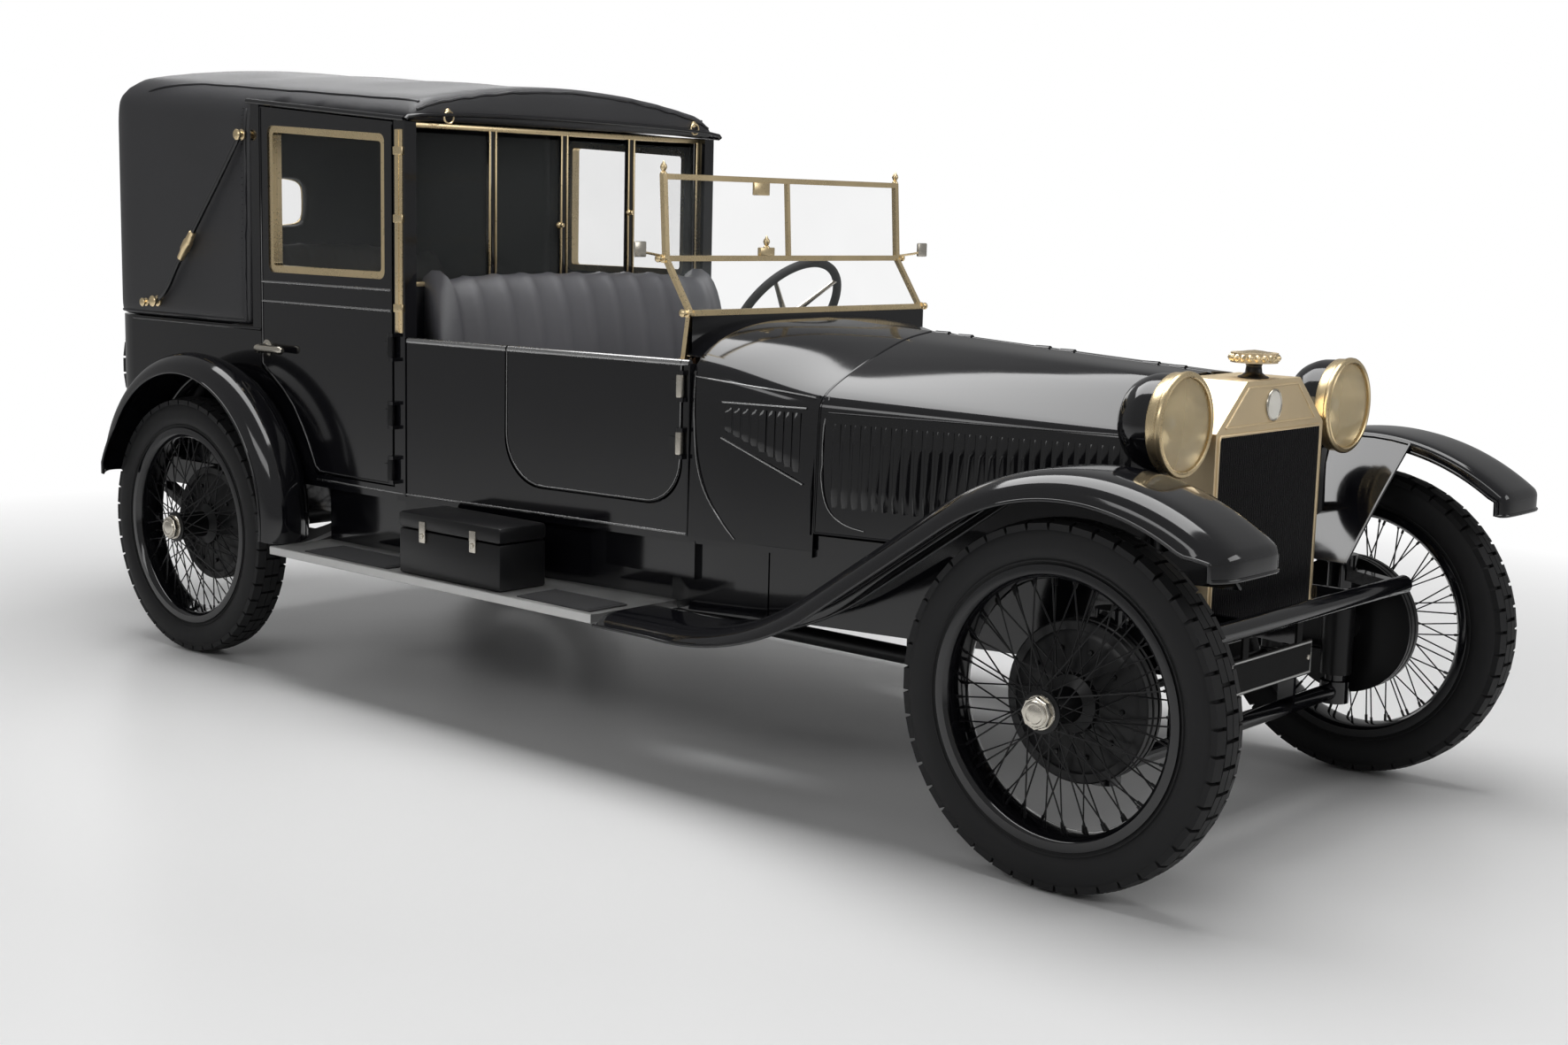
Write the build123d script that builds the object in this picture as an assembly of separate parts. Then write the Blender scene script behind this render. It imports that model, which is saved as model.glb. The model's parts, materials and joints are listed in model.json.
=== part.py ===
from build123d import *
import os
from math import asin, cos, degrees, radians, sin, sqrt, tan

# A coupe de ville of the 1920s: an open driving seat ahead of a closed cabin with a leather head.
# +X is forward, +Y is the car's left and +Z is up. Everything is in millimetres.
# A "station" is a distance behind the front axle, so the bonnet is at low stations.
# The origin is on the ground, half way between the foremost and the rearmost points.

# Wheels and reach. Every height below is drawn for axles at AXLE_HEIGHT; other tyres lift the car.
WHEELBASE = 3100
TRACK = 1332
TYRE_DIAMETER = 765
TYRE_WIDTH = 105
FRONT_REACH = 400
REAR_REACH = 955
X_FRONT_AXLE = (WHEELBASE + REAR_REACH - FRONT_REACH) / 2
AXLE_HEIGHT = 382.5
LIFT = TYRE_DIAMETER / 2 - AXLE_HEIGHT
HUB_REACH = 113
RIM_RADIUS = 280
DRUM_RADIUS = 170
DRUM_BACK = 81
DRUM_FRONT = 42
STUB_RADIUS = 18
SPOKES_PER_ROW = 20
SPOKE_SIZE = 5
RUNNING_GAP = 0.3
MOVING_GAP = 5

# Heights of the body's lines
FLOOR_TOP = 560
FLOOR_THICKNESS = 15
BELT = 985
WAIST = 1128
GUTTER_FRONT = 1568
GUTTER_SLOPE = 0.08
ROOF_CROWN = 1687
ROOF_SLOPE = 0.061

# Stations of the body's joints
RADIATOR_FRONT = -72
BONNET_FRONT = 88
COWL_FRONT = 873
TUB_FRONT = 1222
WINDSCREEN = 1263
FRONT_DOOR = (1246, 1830)
DIVISION = 2235
CABIN_FRONT = 2200
REAR_DOOR = (2251, 2859)
HOOD_FRONT = 2908
BODY_BACK = 3715
WALL = 40
CABIN_HALF = 600
CABIN_CORNER = 160

FRONT_DOOR_LOW = 635
REAR_DOOR_LOW = 586
DOOR_HINGE_RADIUS = 9
DOOR_PIN_RADIUS = 4
FRONT_HINGES = (930, 790)
REAR_HINGES = (965, 780, 630)
WINDOW = (2287, 2823)
WINDOW_LOW = 1146
SPARE_HEIGHT = 790

# Half width of the body's side, and of the hull's front sides, at each station
SIDE_PLAN = [(0, 244), (870, 440), (1222, 505), (2240, CABIN_HALF), (BODY_BACK, CABIN_HALF)]
HULL_PLAN = [(-40, 256), (870, 424), (TUB_FRONT, 488)]
HULL_BOTTOM = 380
HULL_TOP = 597
HULL_PLATE = 12

# Bonnet and radiator
LOUVRES = 28
BONNET_LOW = 605
BONNET_HINGE_RADIUS = 7
RADIATOR_HALF = 242
RADIATOR_TOP = 1018
RADIATOR_LOW = 477

# Fenders and boards. The clearances are measured over the tyre.
FRONT_FENDER_CLEARANCE = 106
REAR_ARCH_CLEARANCE = 82.5
FENDER_OUTER = 770
FENDER_INNER = 540
FENDER_TOP = AXLE_HEIGHT + TYRE_DIAMETER / 2 + FRONT_FENDER_CLEARANCE
FENDER_SHEET = 6
FENDER_SKIRT = 58
CROWN_RADIUS = TYRE_DIAMETER / 2 + FRONT_FENDER_CLEARANCE + 91.5
CROWN_AHEAD = 40
SLOPE_ANGLE = 34
TAIL_RADIUS = 780
REAR_ARCH_STATION = 3045
REAR_ARCH_HEIGHT = 440
REAR_ARCH_RADIUS = TYRE_DIAMETER / 2 + REAR_ARCH_CLEARANCE
REAR_TIP_HEIGHT = 550
BOARD_TOP = 392
BOARD_THICKNESS = 20
BOARD_OUTER = 775
BOARD_STATIONS = (1275, REAR_ARCH_STATION - REAR_ARCH_RADIUS)

# Heights of the windscreen's three bars
SCREEN_LOW = 1104
SCREEN_MIDDLE = 1234
SCREEN_TOP = 1434

# Headlamps, whose bowls end ahead of the path of the lifted bonnet's front edge
LAMP_SPREAD = 369
LAMP_HEIGHT = 940
LAMP_RADIUS = 112
LAMP_BACK_CLEARANCE = 27
LAMP_DEPTH = BONNET_FRONT - RADIATOR_FRONT - LAMP_BACK_CLEARANCE

# Steering
PILLAR_Y = 520
PILLAR_STATION = -10
PILLAR_RADIUS = 26
SLEEVE_RADIUS = 38
TIE_ROD_STATION = 175
TIE_ROD_HEIGHT = 292
TUBE_STATION = -178
TUBE_HEIGHT = 515
COLUMN_TOP = (1600, 270, 1060)
COLUMN_RAKE = 33.7
STEERING_WHEEL_RADIUS = 200

PARTS = {}


def aft(station):
    """The x of a station."""
    return X_FRONT_AXLE - station


def along(plan, station):
    """Half width at a station of a plan given as (station, half width) pairs."""
    for (s0, w0), (s1, w1) in zip(plan, plan[1:]):
        if station <= s1:
            return w0 + (w1 - w0) * (station - s0) / (s1 - s0)
    return plan[-1][1]


def side_half(station):
    """Half width of the body's side at a station."""
    return along(SIDE_PLAN, station)


def gutter(station):
    """Height of the roof's lower edge at a station."""
    return GUTTER_FRONT + GUTTER_SLOPE * (station - CABIN_FRONT)


def block(stations, widths, heights):
    """A box between two stations, two y values and two heights."""
    (xa, xb), (ya, yb), (za, zb) = [aft(s) for s in stations], widths, heights
    middle = Pos((xa + xb) / 2, (ya + yb) / 2, (za + zb) / 2)
    return middle * Box(abs(xb - xa), abs(yb - ya), abs(zb - za))


def side_prism(outline, inner, outer, radii=0):
    """A (station, height) outline pulled out between two y values."""
    points = [(aft(s), inner, z) for s, z in outline]
    face = make_face(FilletPolyline(*points, radius=radii, close=True))
    return extrude(face, amount=outer - inner, dir=(0, 1, 0))


def plan_prism(outline, low, high, radii=0):
    """A (station, y) outline pulled up between two heights."""
    points = [(aft(s), y, low) for s, y in outline]
    face = make_face(FilletPolyline(*points, radius=radii, close=True))
    return extrude(face, amount=high - low, dir=(0, 0, 1))


def cross_face(outline, station):
    """A (y, height) outline as a face at a station."""
    return make_face(Polyline(*[(aft(station), y, z) for y, z in outline], close=True))


def cross_prism(outline, front, back):
    """A (y, height) outline pulled back from one station to another."""
    return extrude(cross_face(outline, front), amount=back - front, dir=(-1, 0, 0))


def ribbon(points, thickness):
    """Outline of a bent sheet: the points, then the same line moved to its right."""
    moved = []
    for i, (a, b) in enumerate(points):
        before = points[max(i - 1, 0)]
        after = points[min(i + 1, len(points) - 1)]
        normals = []
        for (ax, ay), (bx, by) in ((before, (a, b)), ((a, b), after)):
            length = sqrt((bx - ax) ** 2 + (by - ay) ** 2)
            if length > 0:
                normals.append(((by - ay) / length, (ax - bx) / length))
        nx = sum(n[0] for n in normals)
        ny = sum(n[1] for n in normals)
        scale = 2 * thickness / (nx * nx + ny * ny) if len(normals) == 2 else thickness
        moved.append((a + nx * scale, b + ny * scale))
    return points + moved[::-1]


def rod(start, end, radius):
    """A round bar between two points given as (x, y, z)."""
    line = Vector(*end) - Vector(*start)
    return extrude(Plane(origin=start, z_dir=line) * Circle(radius), amount=line.length)


def bar(start, end, width, depth):
    """A square-edged bar between two points given as (x, y, z)."""
    line = Vector(*end) - Vector(*start)
    return extrude(Plane(origin=start, z_dir=line) * Rectangle(width, depth), amount=line.length)


def across(station, height, inner, outer, radius):
    """A round bar that lies across the car."""
    return rod((aft(station), inner, height), (aft(station), outer, height), radius)


def twin(shape):
    """A left-hand shape and its mirror image, as one set of solids."""
    return Compound(children=[shape, mirror(shape, about=Plane.XZ)])


def both(name, shape):
    """A left-hand shape and its mirror image, as two nodes."""
    PARTS[name + "_left"] = shape
    PARTS[name + "_right"] = mirror(shape, about=Plane.XZ)


def side_strip(front, back, thickness=WALL, proud=0):
    """The left side wall between two stations, over the body's full height."""
    knots = [s for s, _ in SIDE_PLAN if front < s < back]
    outer = [(s, side_half(s) + proud) for s in [front, *knots, back]]
    inner = [(s, w - thickness - proud) for s, w in outer]
    return plan_prism(outer + inner[::-1], FLOOR_TOP, gutter(back) + WALL)


def wall_panel(outline, radii=0, thickness=WALL, proud=0):
    """A panel of the left side wall with the given (station, height) outline."""
    stations = [s for s, _ in outline]
    strip = side_strip(min(stations), max(stations), thickness, proud)
    return strip & side_prism(outline, 0, FENDER_OUTER, radii)


def wheel_turn(outline):
    """A (distance from the wheel's middle, radius) outline turned about the wheel's axle."""
    face = make_face(Polyline(*[(0, w, r) for w, r in outline], close=True))
    return revolve(face, axis=Axis.Y)


def tyre():
    """A beaded tyre on its axle, with its middle at the origin."""
    bead = TYRE_WIDTH / 2 - 11.5
    shoulder = TYRE_WIDTH / 2 - 8
    outer = TYRE_DIAMETER / 2
    lip = RIM_RADIUS + 15
    edges = [
        Line((0, -bead, RIM_RADIUS), (0, -bead, lip)),
        ThreePointArc((0, -bead, lip), (0, -TYRE_WIDTH / 2, lip + 38), (0, -shoulder, outer - 14)),
        ThreePointArc((0, -shoulder, outer - 14), (0, 0, outer), (0, shoulder, outer - 14)),
        ThreePointArc((0, shoulder, outer - 14), (0, TYRE_WIDTH / 2, lip + 38), (0, bead, lip)),
        Line((0, bead, lip), (0, bead, RIM_RADIUS)),
        Line((0, bead, RIM_RADIUS), (0, -bead, RIM_RADIUS)),
    ]
    return revolve(make_face(edges), axis=Axis.Y)


def wire_wheel():
    """Rim, spokes, hub and brake drum, with the outer side towards +Y."""
    seat = RIM_RADIUS - RUNNING_GAP
    bead = TYRE_WIDTH / 2 - 11.5 + RUNNING_GAP
    rim = wheel_turn([
        (-bead - 5, seat + 13), (-bead, seat + 13), (-bead, seat), (bead, seat), (bead, seat + 13),
        (bead + 5, seat + 13), (bead + 5, seat - 10), (18, seat - 18), (-18, seat - 18),
        (-bead - 5, seat - 10),
    ])
    hub = wheel_turn([
        (-DRUM_BACK, 0), (-DRUM_BACK, DRUM_RADIUS), (-DRUM_FRONT, DRUM_RADIUS),
        (-DRUM_FRONT, 62), (-20, 58), (-12, 40), (70, 36), (76, 44), (84, 44), (86, 34),
        (98, 32), (HUB_REACH - 4, 24), (HUB_REACH, 14), (HUB_REACH, 0),
    ])
    # Each row of spokes: radius and place at the hub, place at the rim, and twist in degrees
    rows = [(56, -24, -10, 14), (40, 80, 12, 9)]
    spokes = []
    for hub_radius, hub_place, rim_place, twist in rows:
        for i in range(SPOKES_PER_ROW):
            turn = 360 * i / SPOKES_PER_ROW
            lean = turn + (twist if i % 2 else -twist)
            foot = (hub_radius * cos(radians(lean)), hub_place, hub_radius * sin(radians(lean)))
            reach = seat - 14
            head = (reach * cos(radians(turn)), rim_place, reach * sin(radians(turn)))
            spokes.append(bar(foot, head, SPOKE_SIZE, SPOKE_SIZE))
    bore = rod((0, -DRUM_BACK - 1, 0), (0, 60, 0), STUB_RADIUS)
    return (rim + hub + spokes) - bore


def wheels():
    """The four road wheels and the spare, each with its tyre."""
    rubber, metal = tyre(), wire_wheel()
    axles = [("front", 0), ("rear", WHEELBASE)]
    for end, station in axles:
        for side, sign in (("left", 1), ("right", -1)):
            place = Pos(aft(station), sign * TRACK / 2, AXLE_HEIGHT)
            turned = metal if sign > 0 else mirror(metal, about=Plane.XZ)
            PARTS[f"tyre_{end}_{side}"] = place * rubber
            PARTS[f"wheel_{end}_{side}"] = place * turned
    station = WHEELBASE + REAR_REACH - HUB_REACH
    spare = Pos(aft(station), 0, SPARE_HEIGHT) * Rot(0, 0, 90)
    PARTS["spare_tyre"] = spare * rubber
    PARTS["spare_wheel"] = spare * metal
    carrier_end = station - DRUM_BACK - RUNNING_GAP
    spigot = rod((aft(station - DRUM_BACK - 1), 0, SPARE_HEIGHT),
                 (aft(station + 40), 0, SPARE_HEIGHT), STUB_RADIUS - RUNNING_GAP)
    plate = rod((aft(carrier_end - 8), 0, SPARE_HEIGHT), (aft(carrier_end), 0, SPARE_HEIGHT), 90)
    arms = [block((BODY_BACK - 150, carrier_end - 4), (y - 12, y + 12),
                  (SPARE_HEIGHT - 30, SPARE_HEIGHT + 30)) for y in (-60, 60)]
    PARTS["spare_carrier"] = (plate + arms + spigot) - cabin_solid(0)


def knuckles():
    """The sleeves that turn on the pillars and carry the front wheels, and the rod between them."""
    pillar = (aft(PILLAR_STATION), PILLAR_Y)
    sleeve = rod((*pillar, 268), (*pillar, 468), SLEEVE_RADIUS)
    inner_end = TRACK / 2 - DRUM_BACK - MOVING_GAP
    boss = across(0, AXLE_HEIGHT, PILLAR_Y, inner_end - 4, 42)
    plate = across(0, AXLE_HEIGHT, inner_end - 8, inner_end, DRUM_RADIUS)
    stub = across(0, AXLE_HEIGHT, inner_end - 4, TRACK / 2 + 55, STUB_RADIUS - RUNNING_GAP)
    pin = (aft(TIE_ROD_STATION), PILLAR_Y)
    arm = bar((aft(0), PILLAR_Y - 4, TIE_ROD_HEIGHT + 24), (*pin, TIE_ROD_HEIGHT + 24), 24, 16)
    eye = rod((*pin, TIE_ROD_HEIGHT + 14), (*pin, TIE_ROD_HEIGHT + 34), 18)
    stem = rod((*pin, TIE_ROD_HEIGHT - 16), (*pin, TIE_ROD_HEIGHT + 16), 9)
    bore = rod((*pillar, 260), (*pillar, 480), PILLAR_RADIUS + RUNNING_GAP)
    both("knuckle", (sleeve + boss + plate + stub + arm + eye + stem) - bore)
    shaft = across(TIE_ROD_STATION, TIE_ROD_HEIGHT, -PILLAR_Y + 14, PILLAR_Y - 14, 10)
    rings, holes = [], []
    for sign in (-1, 1):
        centre = (aft(TIE_ROD_STATION), sign * PILLAR_Y)
        rings.append(rod((*centre, TIE_ROD_HEIGHT - 12), (*centre, TIE_ROD_HEIGHT + 12), 22))
        holes.append(rod((*centre, TIE_ROD_HEIGHT - 13), (*centre, TIE_ROD_HEIGHT + 13), 9 + RUNNING_GAP))
    PARTS["tie_rod"] = (shaft + rings) - holes


def front_frame():
    """The tube frame ahead of the hull, with the pillars that the wheels slide on."""
    x, y = aft(PILLAR_STATION), PILLAR_Y
    parts = [across(TUBE_STATION, TUBE_HEIGHT, -500, 500, 22)]
    parts.append(across(PILLAR_STATION, 225, -y, y, 20))
    for sign in (-1, 1):
        parts.append(rod((x, sign * y, 200), (x, sign * y, 560), PILLAR_RADIUS))
        parts.append(rod((x, sign * y, 486), (x, sign * y, 566), PILLAR_RADIUS + 10))
        parts.append(rod((x, sign * y, 196), (x, sign * y, 250), PILLAR_RADIUS + 10))
        parts.append(bar((x, sign * y, TUBE_HEIGHT + 5),
                         (aft(TUBE_STATION), sign * (y - 90), TUBE_HEIGHT + 5), 30, 30))
        rail = (sign * (HULL_PLAN[0][1] - HULL_PLATE), sign * HULL_PLAN[0][1])
        parts.append(block((TUBE_STATION, HULL_PLAN[0][0]), rail, (500, 530)))
        parts.append(block((-40, 0), rail, (222, HULL_BOTTOM)))
    PARTS["front_frame"] = Part() + parts


def hull():
    """The pressed hull: deep front sides, box members, cross members, floor and outer valances."""
    front = HULL_PLAN[0][0]
    under = FLOOR_TOP - FLOOR_THICKNESS
    parts = []
    for sign in (-1, 1):
        ring = [(s, sign * w) for s, w in HULL_PLAN]
        ring += [(s, sign * (w - HULL_PLATE)) for s, w in HULL_PLAN[::-1]]
        parts.append(plan_prism(ring, HULL_BOTTOM, HULL_TOP))
        parts.append(block((1200, 3600), (sign * 440, sign * 500), (455, under + 5)))
    # Edge of the floor as (station, half width), narrow beside the rear brakes
    edge = [(s, side_half(s) - 3) for s in (COWL_FRONT + 2, TUB_FRONT, 2240, 2830)]
    edge += [(s, CABIN_HALF - WALL - 2) for s in (2830, 3600)]
    floor = plan_prism(edge + [(s, -w) for s, w in edge[::-1]], under, FLOOR_TOP)
    # Cross members: front station, back station, half width, lowest and highest point
    beams = [(front, 60, along(HULL_PLAN, front) - 4, 430, RADIATOR_LOW),
             (640, 690, along(HULL_PLAN, 640) - 4, HULL_BOTTOM, 430),
             (1200, 1260, 480, 480, under + 5), (2200, 2260, 500, 455, under + 5),
             (3540, 3600, 500, 455, under + 5)]
    for a, b, half, low, high in beams:
        parts.append(block((a, b), (-half, half), (low, high)))
    PARTS["hull"] = floor + parts + valances()


def board_inner(station):
    """Half width of the running board's inner edge at a station."""
    return side_half(station) - 32


def valances():
    """Plates that close the gap between the floor's edge and the running boards."""
    front, back = BOARD_STATIONS
    line = [(s, board_inner(s)) for s in (front, 2240, back)]
    sheet = [(s, w - 6) for s, w in line[::-1]]
    plates = []
    for sign in (-1, 1):
        ring = [(s, sign * w) for s, w in line + sheet]
        plates.append(plan_prism(ring, BOARD_TOP - BOARD_THICKNESS, FLOOR_TOP - FLOOR_THICKNESS + 5))
    return plates


def rear_axle():
    """The live axle with its casing, its brake plates and the springs below it."""
    inner_end = TRACK / 2 - DRUM_BACK - MOVING_GAP
    tube = across(WHEELBASE, AXLE_HEIGHT, -inner_end + 4, inner_end - 4, 38)
    casing = Pos(aft(WHEELBASE), 0, AXLE_HEIGHT) * Sphere(72)
    shaft = across(WHEELBASE, AXLE_HEIGHT, -TRACK / 2 - 55, TRACK / 2 + 55, STUB_RADIUS - RUNNING_GAP)
    plates = [across(WHEELBASE, AXLE_HEIGHT, sign * (inner_end - 8), sign * inner_end, DRUM_RADIUS)
              for sign in (-1, 1)]
    PARTS["rear_axle"] = tube + casing + shaft + plates
    low = AXLE_HEIGHT - 38
    ends, top = 500, 453
    edges = [
        ThreePointArc((aft(WHEELBASE - ends), 445, top), (aft(WHEELBASE), 445, low - RUNNING_GAP),
                      (aft(WHEELBASE + ends), 445, top)),
        Line((aft(WHEELBASE + ends), 445, top), (aft(WHEELBASE + ends), 445, top - 16)),
        ThreePointArc((aft(WHEELBASE + ends), 445, top - 16), (aft(WHEELBASE), 445, low - 40),
                      (aft(WHEELBASE - ends), 445, top - 16)),
        Line((aft(WHEELBASE - ends), 445, top - 16), (aft(WHEELBASE - ends), 445, top)),
    ]
    leaf = extrude(make_face(edges), amount=50, dir=(0, 1, 0))
    hangers = [block((s - 14, s + 14), (445, 495), (top - 10, 455)) for s in (WHEELBASE - 486, WHEELBASE + 486)]
    PARTS["rear_springs"] = twin(leaf + hangers)


def power_train():
    """The engine as one block, the gearbox with its shaft, and the exhaust."""
    PARTS["engine_block"] = block((120, 760), (-150, 150), (430, 880)) \
        + block((300, 760), (-235, 235), (430, 470)) + block((200, 630), (-120, 120), (345, 430))
    box_top = FLOOR_TOP - FLOOR_THICKNESS
    sections = [cross_face([(-w, low), (w, low), (w, box_top), (-w, box_top)], s)
                for s, w, low in ((760, 120, 320), (1190, 80, 400))]
    gearbox = loft(sections, ruled=True)
    front, back = (aft(1185), 0, 440), (aft(WHEELBASE - 60), 0, AXLE_HEIGHT)
    shaft = rod(front, back, 26) - Pos(aft(WHEELBASE), 0, AXLE_HEIGHT) * Sphere(72 + RUNNING_GAP)
    PARTS["gearbox_and_shaft"] = gearbox + shaft
    y, height = -230, 300
    pipe = rod((aft(700), y, height), (aft(3680), y, height), 22)
    silencer = rod((aft(1750), y, height), (aft(2250), y, height), 58)
    straps = [block((s - 12, s + 12), (y - 4, y + 4), (height, top))
              for s, top in ((1230, 480), (2230, 455), (3570, 455))]
    elbow = block((700, 740), (y - 4, y + 18), (height, 430))
    PARTS["exhaust"] = pipe + silencer + straps + elbow


def radiator():
    """The plated shell with its tank and cap, and the core that it frames."""
    half, core_half, top, core_top, bottom = RADIATOR_HALF, 228, RADIATOR_TOP, 906, RADIATOR_LOW
    back = BONNET_FRONT - MOVING_GAP
    outline = [(-half, bottom), (-half, core_top + 6), (-120, top), (120, top),
               (half, core_top + 6), (half, bottom)]
    shell = cross_prism(outline, RADIATOR_FRONT, back)
    window = block((RADIATOR_FRONT - 1, back + 1), (-core_half, core_half), (bottom + 12, core_top))
    hollow = cross_prism([(-half + 15, bottom + 12), (-half + 15, core_top), (-108, top - 15),
                          (108, top - 15), (half - 15, core_top), (half - 15, bottom + 12)], 0, back + 1)
    badge = Pos(aft(RADIATOR_FRONT), 0, 958) * Rot(0, 90, 0) * Cylinder(30, 8)
    neck = rod((aft(-20), 0, top - 2), (aft(-20), 0, top + 34), 17)
    cap = rod((aft(-20), 0, top + 34), (aft(-20), 0, top + 56), 52)
    PARTS["radiator_shell"] = (shell - window - hollow) + badge + neck + cap
    core = block((RADIATOR_FRONT + 8, -2), (-core_half, core_half), (bottom + 12, core_top))
    fins = [block((RADIATOR_FRONT + 4, RADIATOR_FRONT + 8), (y - 3, y + 3), (bottom + 12, core_top))
            for y in range(-220, 221, 20)]
    PARTS["radiator_core"] = core + fins


def headlamps():
    """Bowl, rim and glass of each headlamp, with the post that stands on the apron."""
    lamp_y, height, radius, depth = LAMP_SPREAD, LAMP_HEIGHT, LAMP_RADIUS, LAMP_DEPTH
    front = RADIATOR_FRONT + 1
    # The bowl as (depth behind the ring, radius)
    bowl = [(26, radius - 4), (0.50 * depth, radius - 9), (0.76 * depth, radius - 25),
            (0.93 * depth, radius - 54), (depth, radius - 84), (depth, 0)]
    bowl_edges = [
        Line((aft(front + depth), lamp_y, height), (aft(front + 26), lamp_y, height)),
        Polyline(*[(aft(front + a), lamp_y, height + r) for a, r in [(26, 0)] + bowl]),
    ]
    spin = Axis((aft(front), lamp_y, height), (1, 0, 0))
    bowl = revolve(make_face(bowl_edges), axis=spin)
    post = rod((aft(front + 60), lamp_y, 600), (aft(front + 60), lamp_y, height - 60), 13)
    cutter = apron(260)
    PARTS["headlamp_bowls"] = twin(bowl + (post - cutter))
    ring = rod((aft(front - 3), lamp_y, height), (aft(front + 26), lamp_y, height), radius)
    hole = rod((aft(front - 4), lamp_y, height), (aft(front + 12), lamp_y, height), radius - 10)
    PARTS["headlamp_rims"] = twin(ring - hole)
    lens = rod((aft(front + 3), lamp_y, height), (aft(front + 12), lamp_y, height), radius - 10)
    PARTS["headlamp_lenses"] = twin(lens)


def fender_points():
    """Corners of the front fender's side curve, from the tip to the tail, as (station, height)."""
    tip = asin((FRONT_REACH - CROWN_AHEAD) / CROWN_RADIUS)
    slope = radians(SLOPE_ANGLE)
    centre = (-CROWN_AHEAD, FENDER_TOP - CROWN_RADIUS)
    at = lambda angle: (centre[0] - CROWN_RADIUS * sin(angle), centre[1] + CROWN_RADIUS * cos(angle))
    start, middle, crown_end = at(tip), at((tip - slope) / 2), at(-slope)
    tail_height = BOARD_TOP
    run_end = tail_height + TAIL_RADIUS * (1 - cos(slope))
    run = (crown_end[1] - run_end) / tan(slope)
    run_point = (crown_end[0] + run, run_end)
    tail = (run_point[0] + TAIL_RADIUS * sin(slope), tail_height)
    half = slope / 2
    tail_middle = (tail[0] - TAIL_RADIUS * sin(half), tail_height + TAIL_RADIUS * (1 - cos(half)))
    return start, middle, crown_end, run_point, tail_middle, tail, tip


def fender_section(inner, outer, lip):
    """Points (y, height over the curve) of a fender's sheet, from its inner lip to its skirt."""
    return [(inner, -lip), (inner, -14), (inner + 16, -5), (inner + 70, -1), (outer - 60, 0),
            (outer - 32, -4), (outer - 12, -13), (outer, -30), (outer, -FENDER_SKIRT)]


def fender_height(station):
    """Height of the front fender's side curve at a station."""
    start, _, crown_end, run_point, _, tail, _ = fender_points()
    if station <= crown_end[0]:
        return FENDER_TOP - CROWN_RADIUS + sqrt(CROWN_RADIUS ** 2 - (station + CROWN_AHEAD) ** 2)
    if station <= run_point[0]:
        return crown_end[1] - (station - crown_end[0]) * tan(radians(SLOPE_ANGLE))
    reach = tail[0] - station
    return tail[1] + TAIL_RADIUS - sqrt(TAIL_RADIUS ** 2 - max(reach, 0) ** 2)


def front_fenders():
    """Swept front fenders with a skirt, and the front lip that closes them."""
    start, middle, crown_end, run_point, tail_middle, tail, tip = fender_points()
    at = lambda p: (aft(p[0]), 0, p[1])
    path = Wire([
        ThreePointArc(at(start), at(middle), at(crown_end)),
        Line(at(crown_end), at(run_point)),
        ThreePointArc(at(run_point), at(tail_middle), at(tail)),
        Line(at(tail), at((BOARD_STATIONS[0], tail[1]))),
    ])
    up = (sin(tip), cos(tip))
    place = lambda y, h: (aft(start[0]) + h * up[0], y, start[1] + h * up[1])
    section = fender_section(FENDER_INNER, FENDER_OUTER, 34)
    sheet = ribbon(section, FENDER_SHEET)
    face = make_face(Polyline(*[place(y, h) for y, h in sheet], close=True))
    fender = sweep(face, path=path)
    lip_outline = section[:-1] + [(FENDER_OUTER, -46), (FENDER_INNER + 30, -46)]
    lip_face = make_face(Polyline(*[place(y, h) for y, h in lip_outline], close=True))
    lip = extrude(lip_face, amount=FENDER_SHEET, dir=(-cos(tip), 0, sin(tip)))
    PARTS["front_fenders"] = twin(fender + lip + apron(FENDER_SHEET))


def apron(thickness):
    """The sloping sheet between the left front fender and the hull."""
    stations = [-120, 60, 280, 500, 720, 900]
    first, last = [(s, along(HULL_PLAN, s) + RUNNING_GAP) for s in (stations[0], stations[-1])]
    slope = (last[1] - first[1]) / (last[0] - first[0])
    outer = [(s, FENDER_INNER + 3, fender_height(s) - 22) for s in stations]
    inner = [(s, first[1] + slope * (s - first[0]), min(HULL_TOP - 6, fender_height(s) - 24))
             for s in stations]
    faces = []
    for row in (outer, inner):
        points = [(aft(s), y, z) for s, y, z in row]
        low = [(x, y, z - thickness) for x, y, z in points[::-1]]
        faces.append(make_face(Polyline(*points, *low, close=True)))
    return loft(faces, ruled=True)


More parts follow.
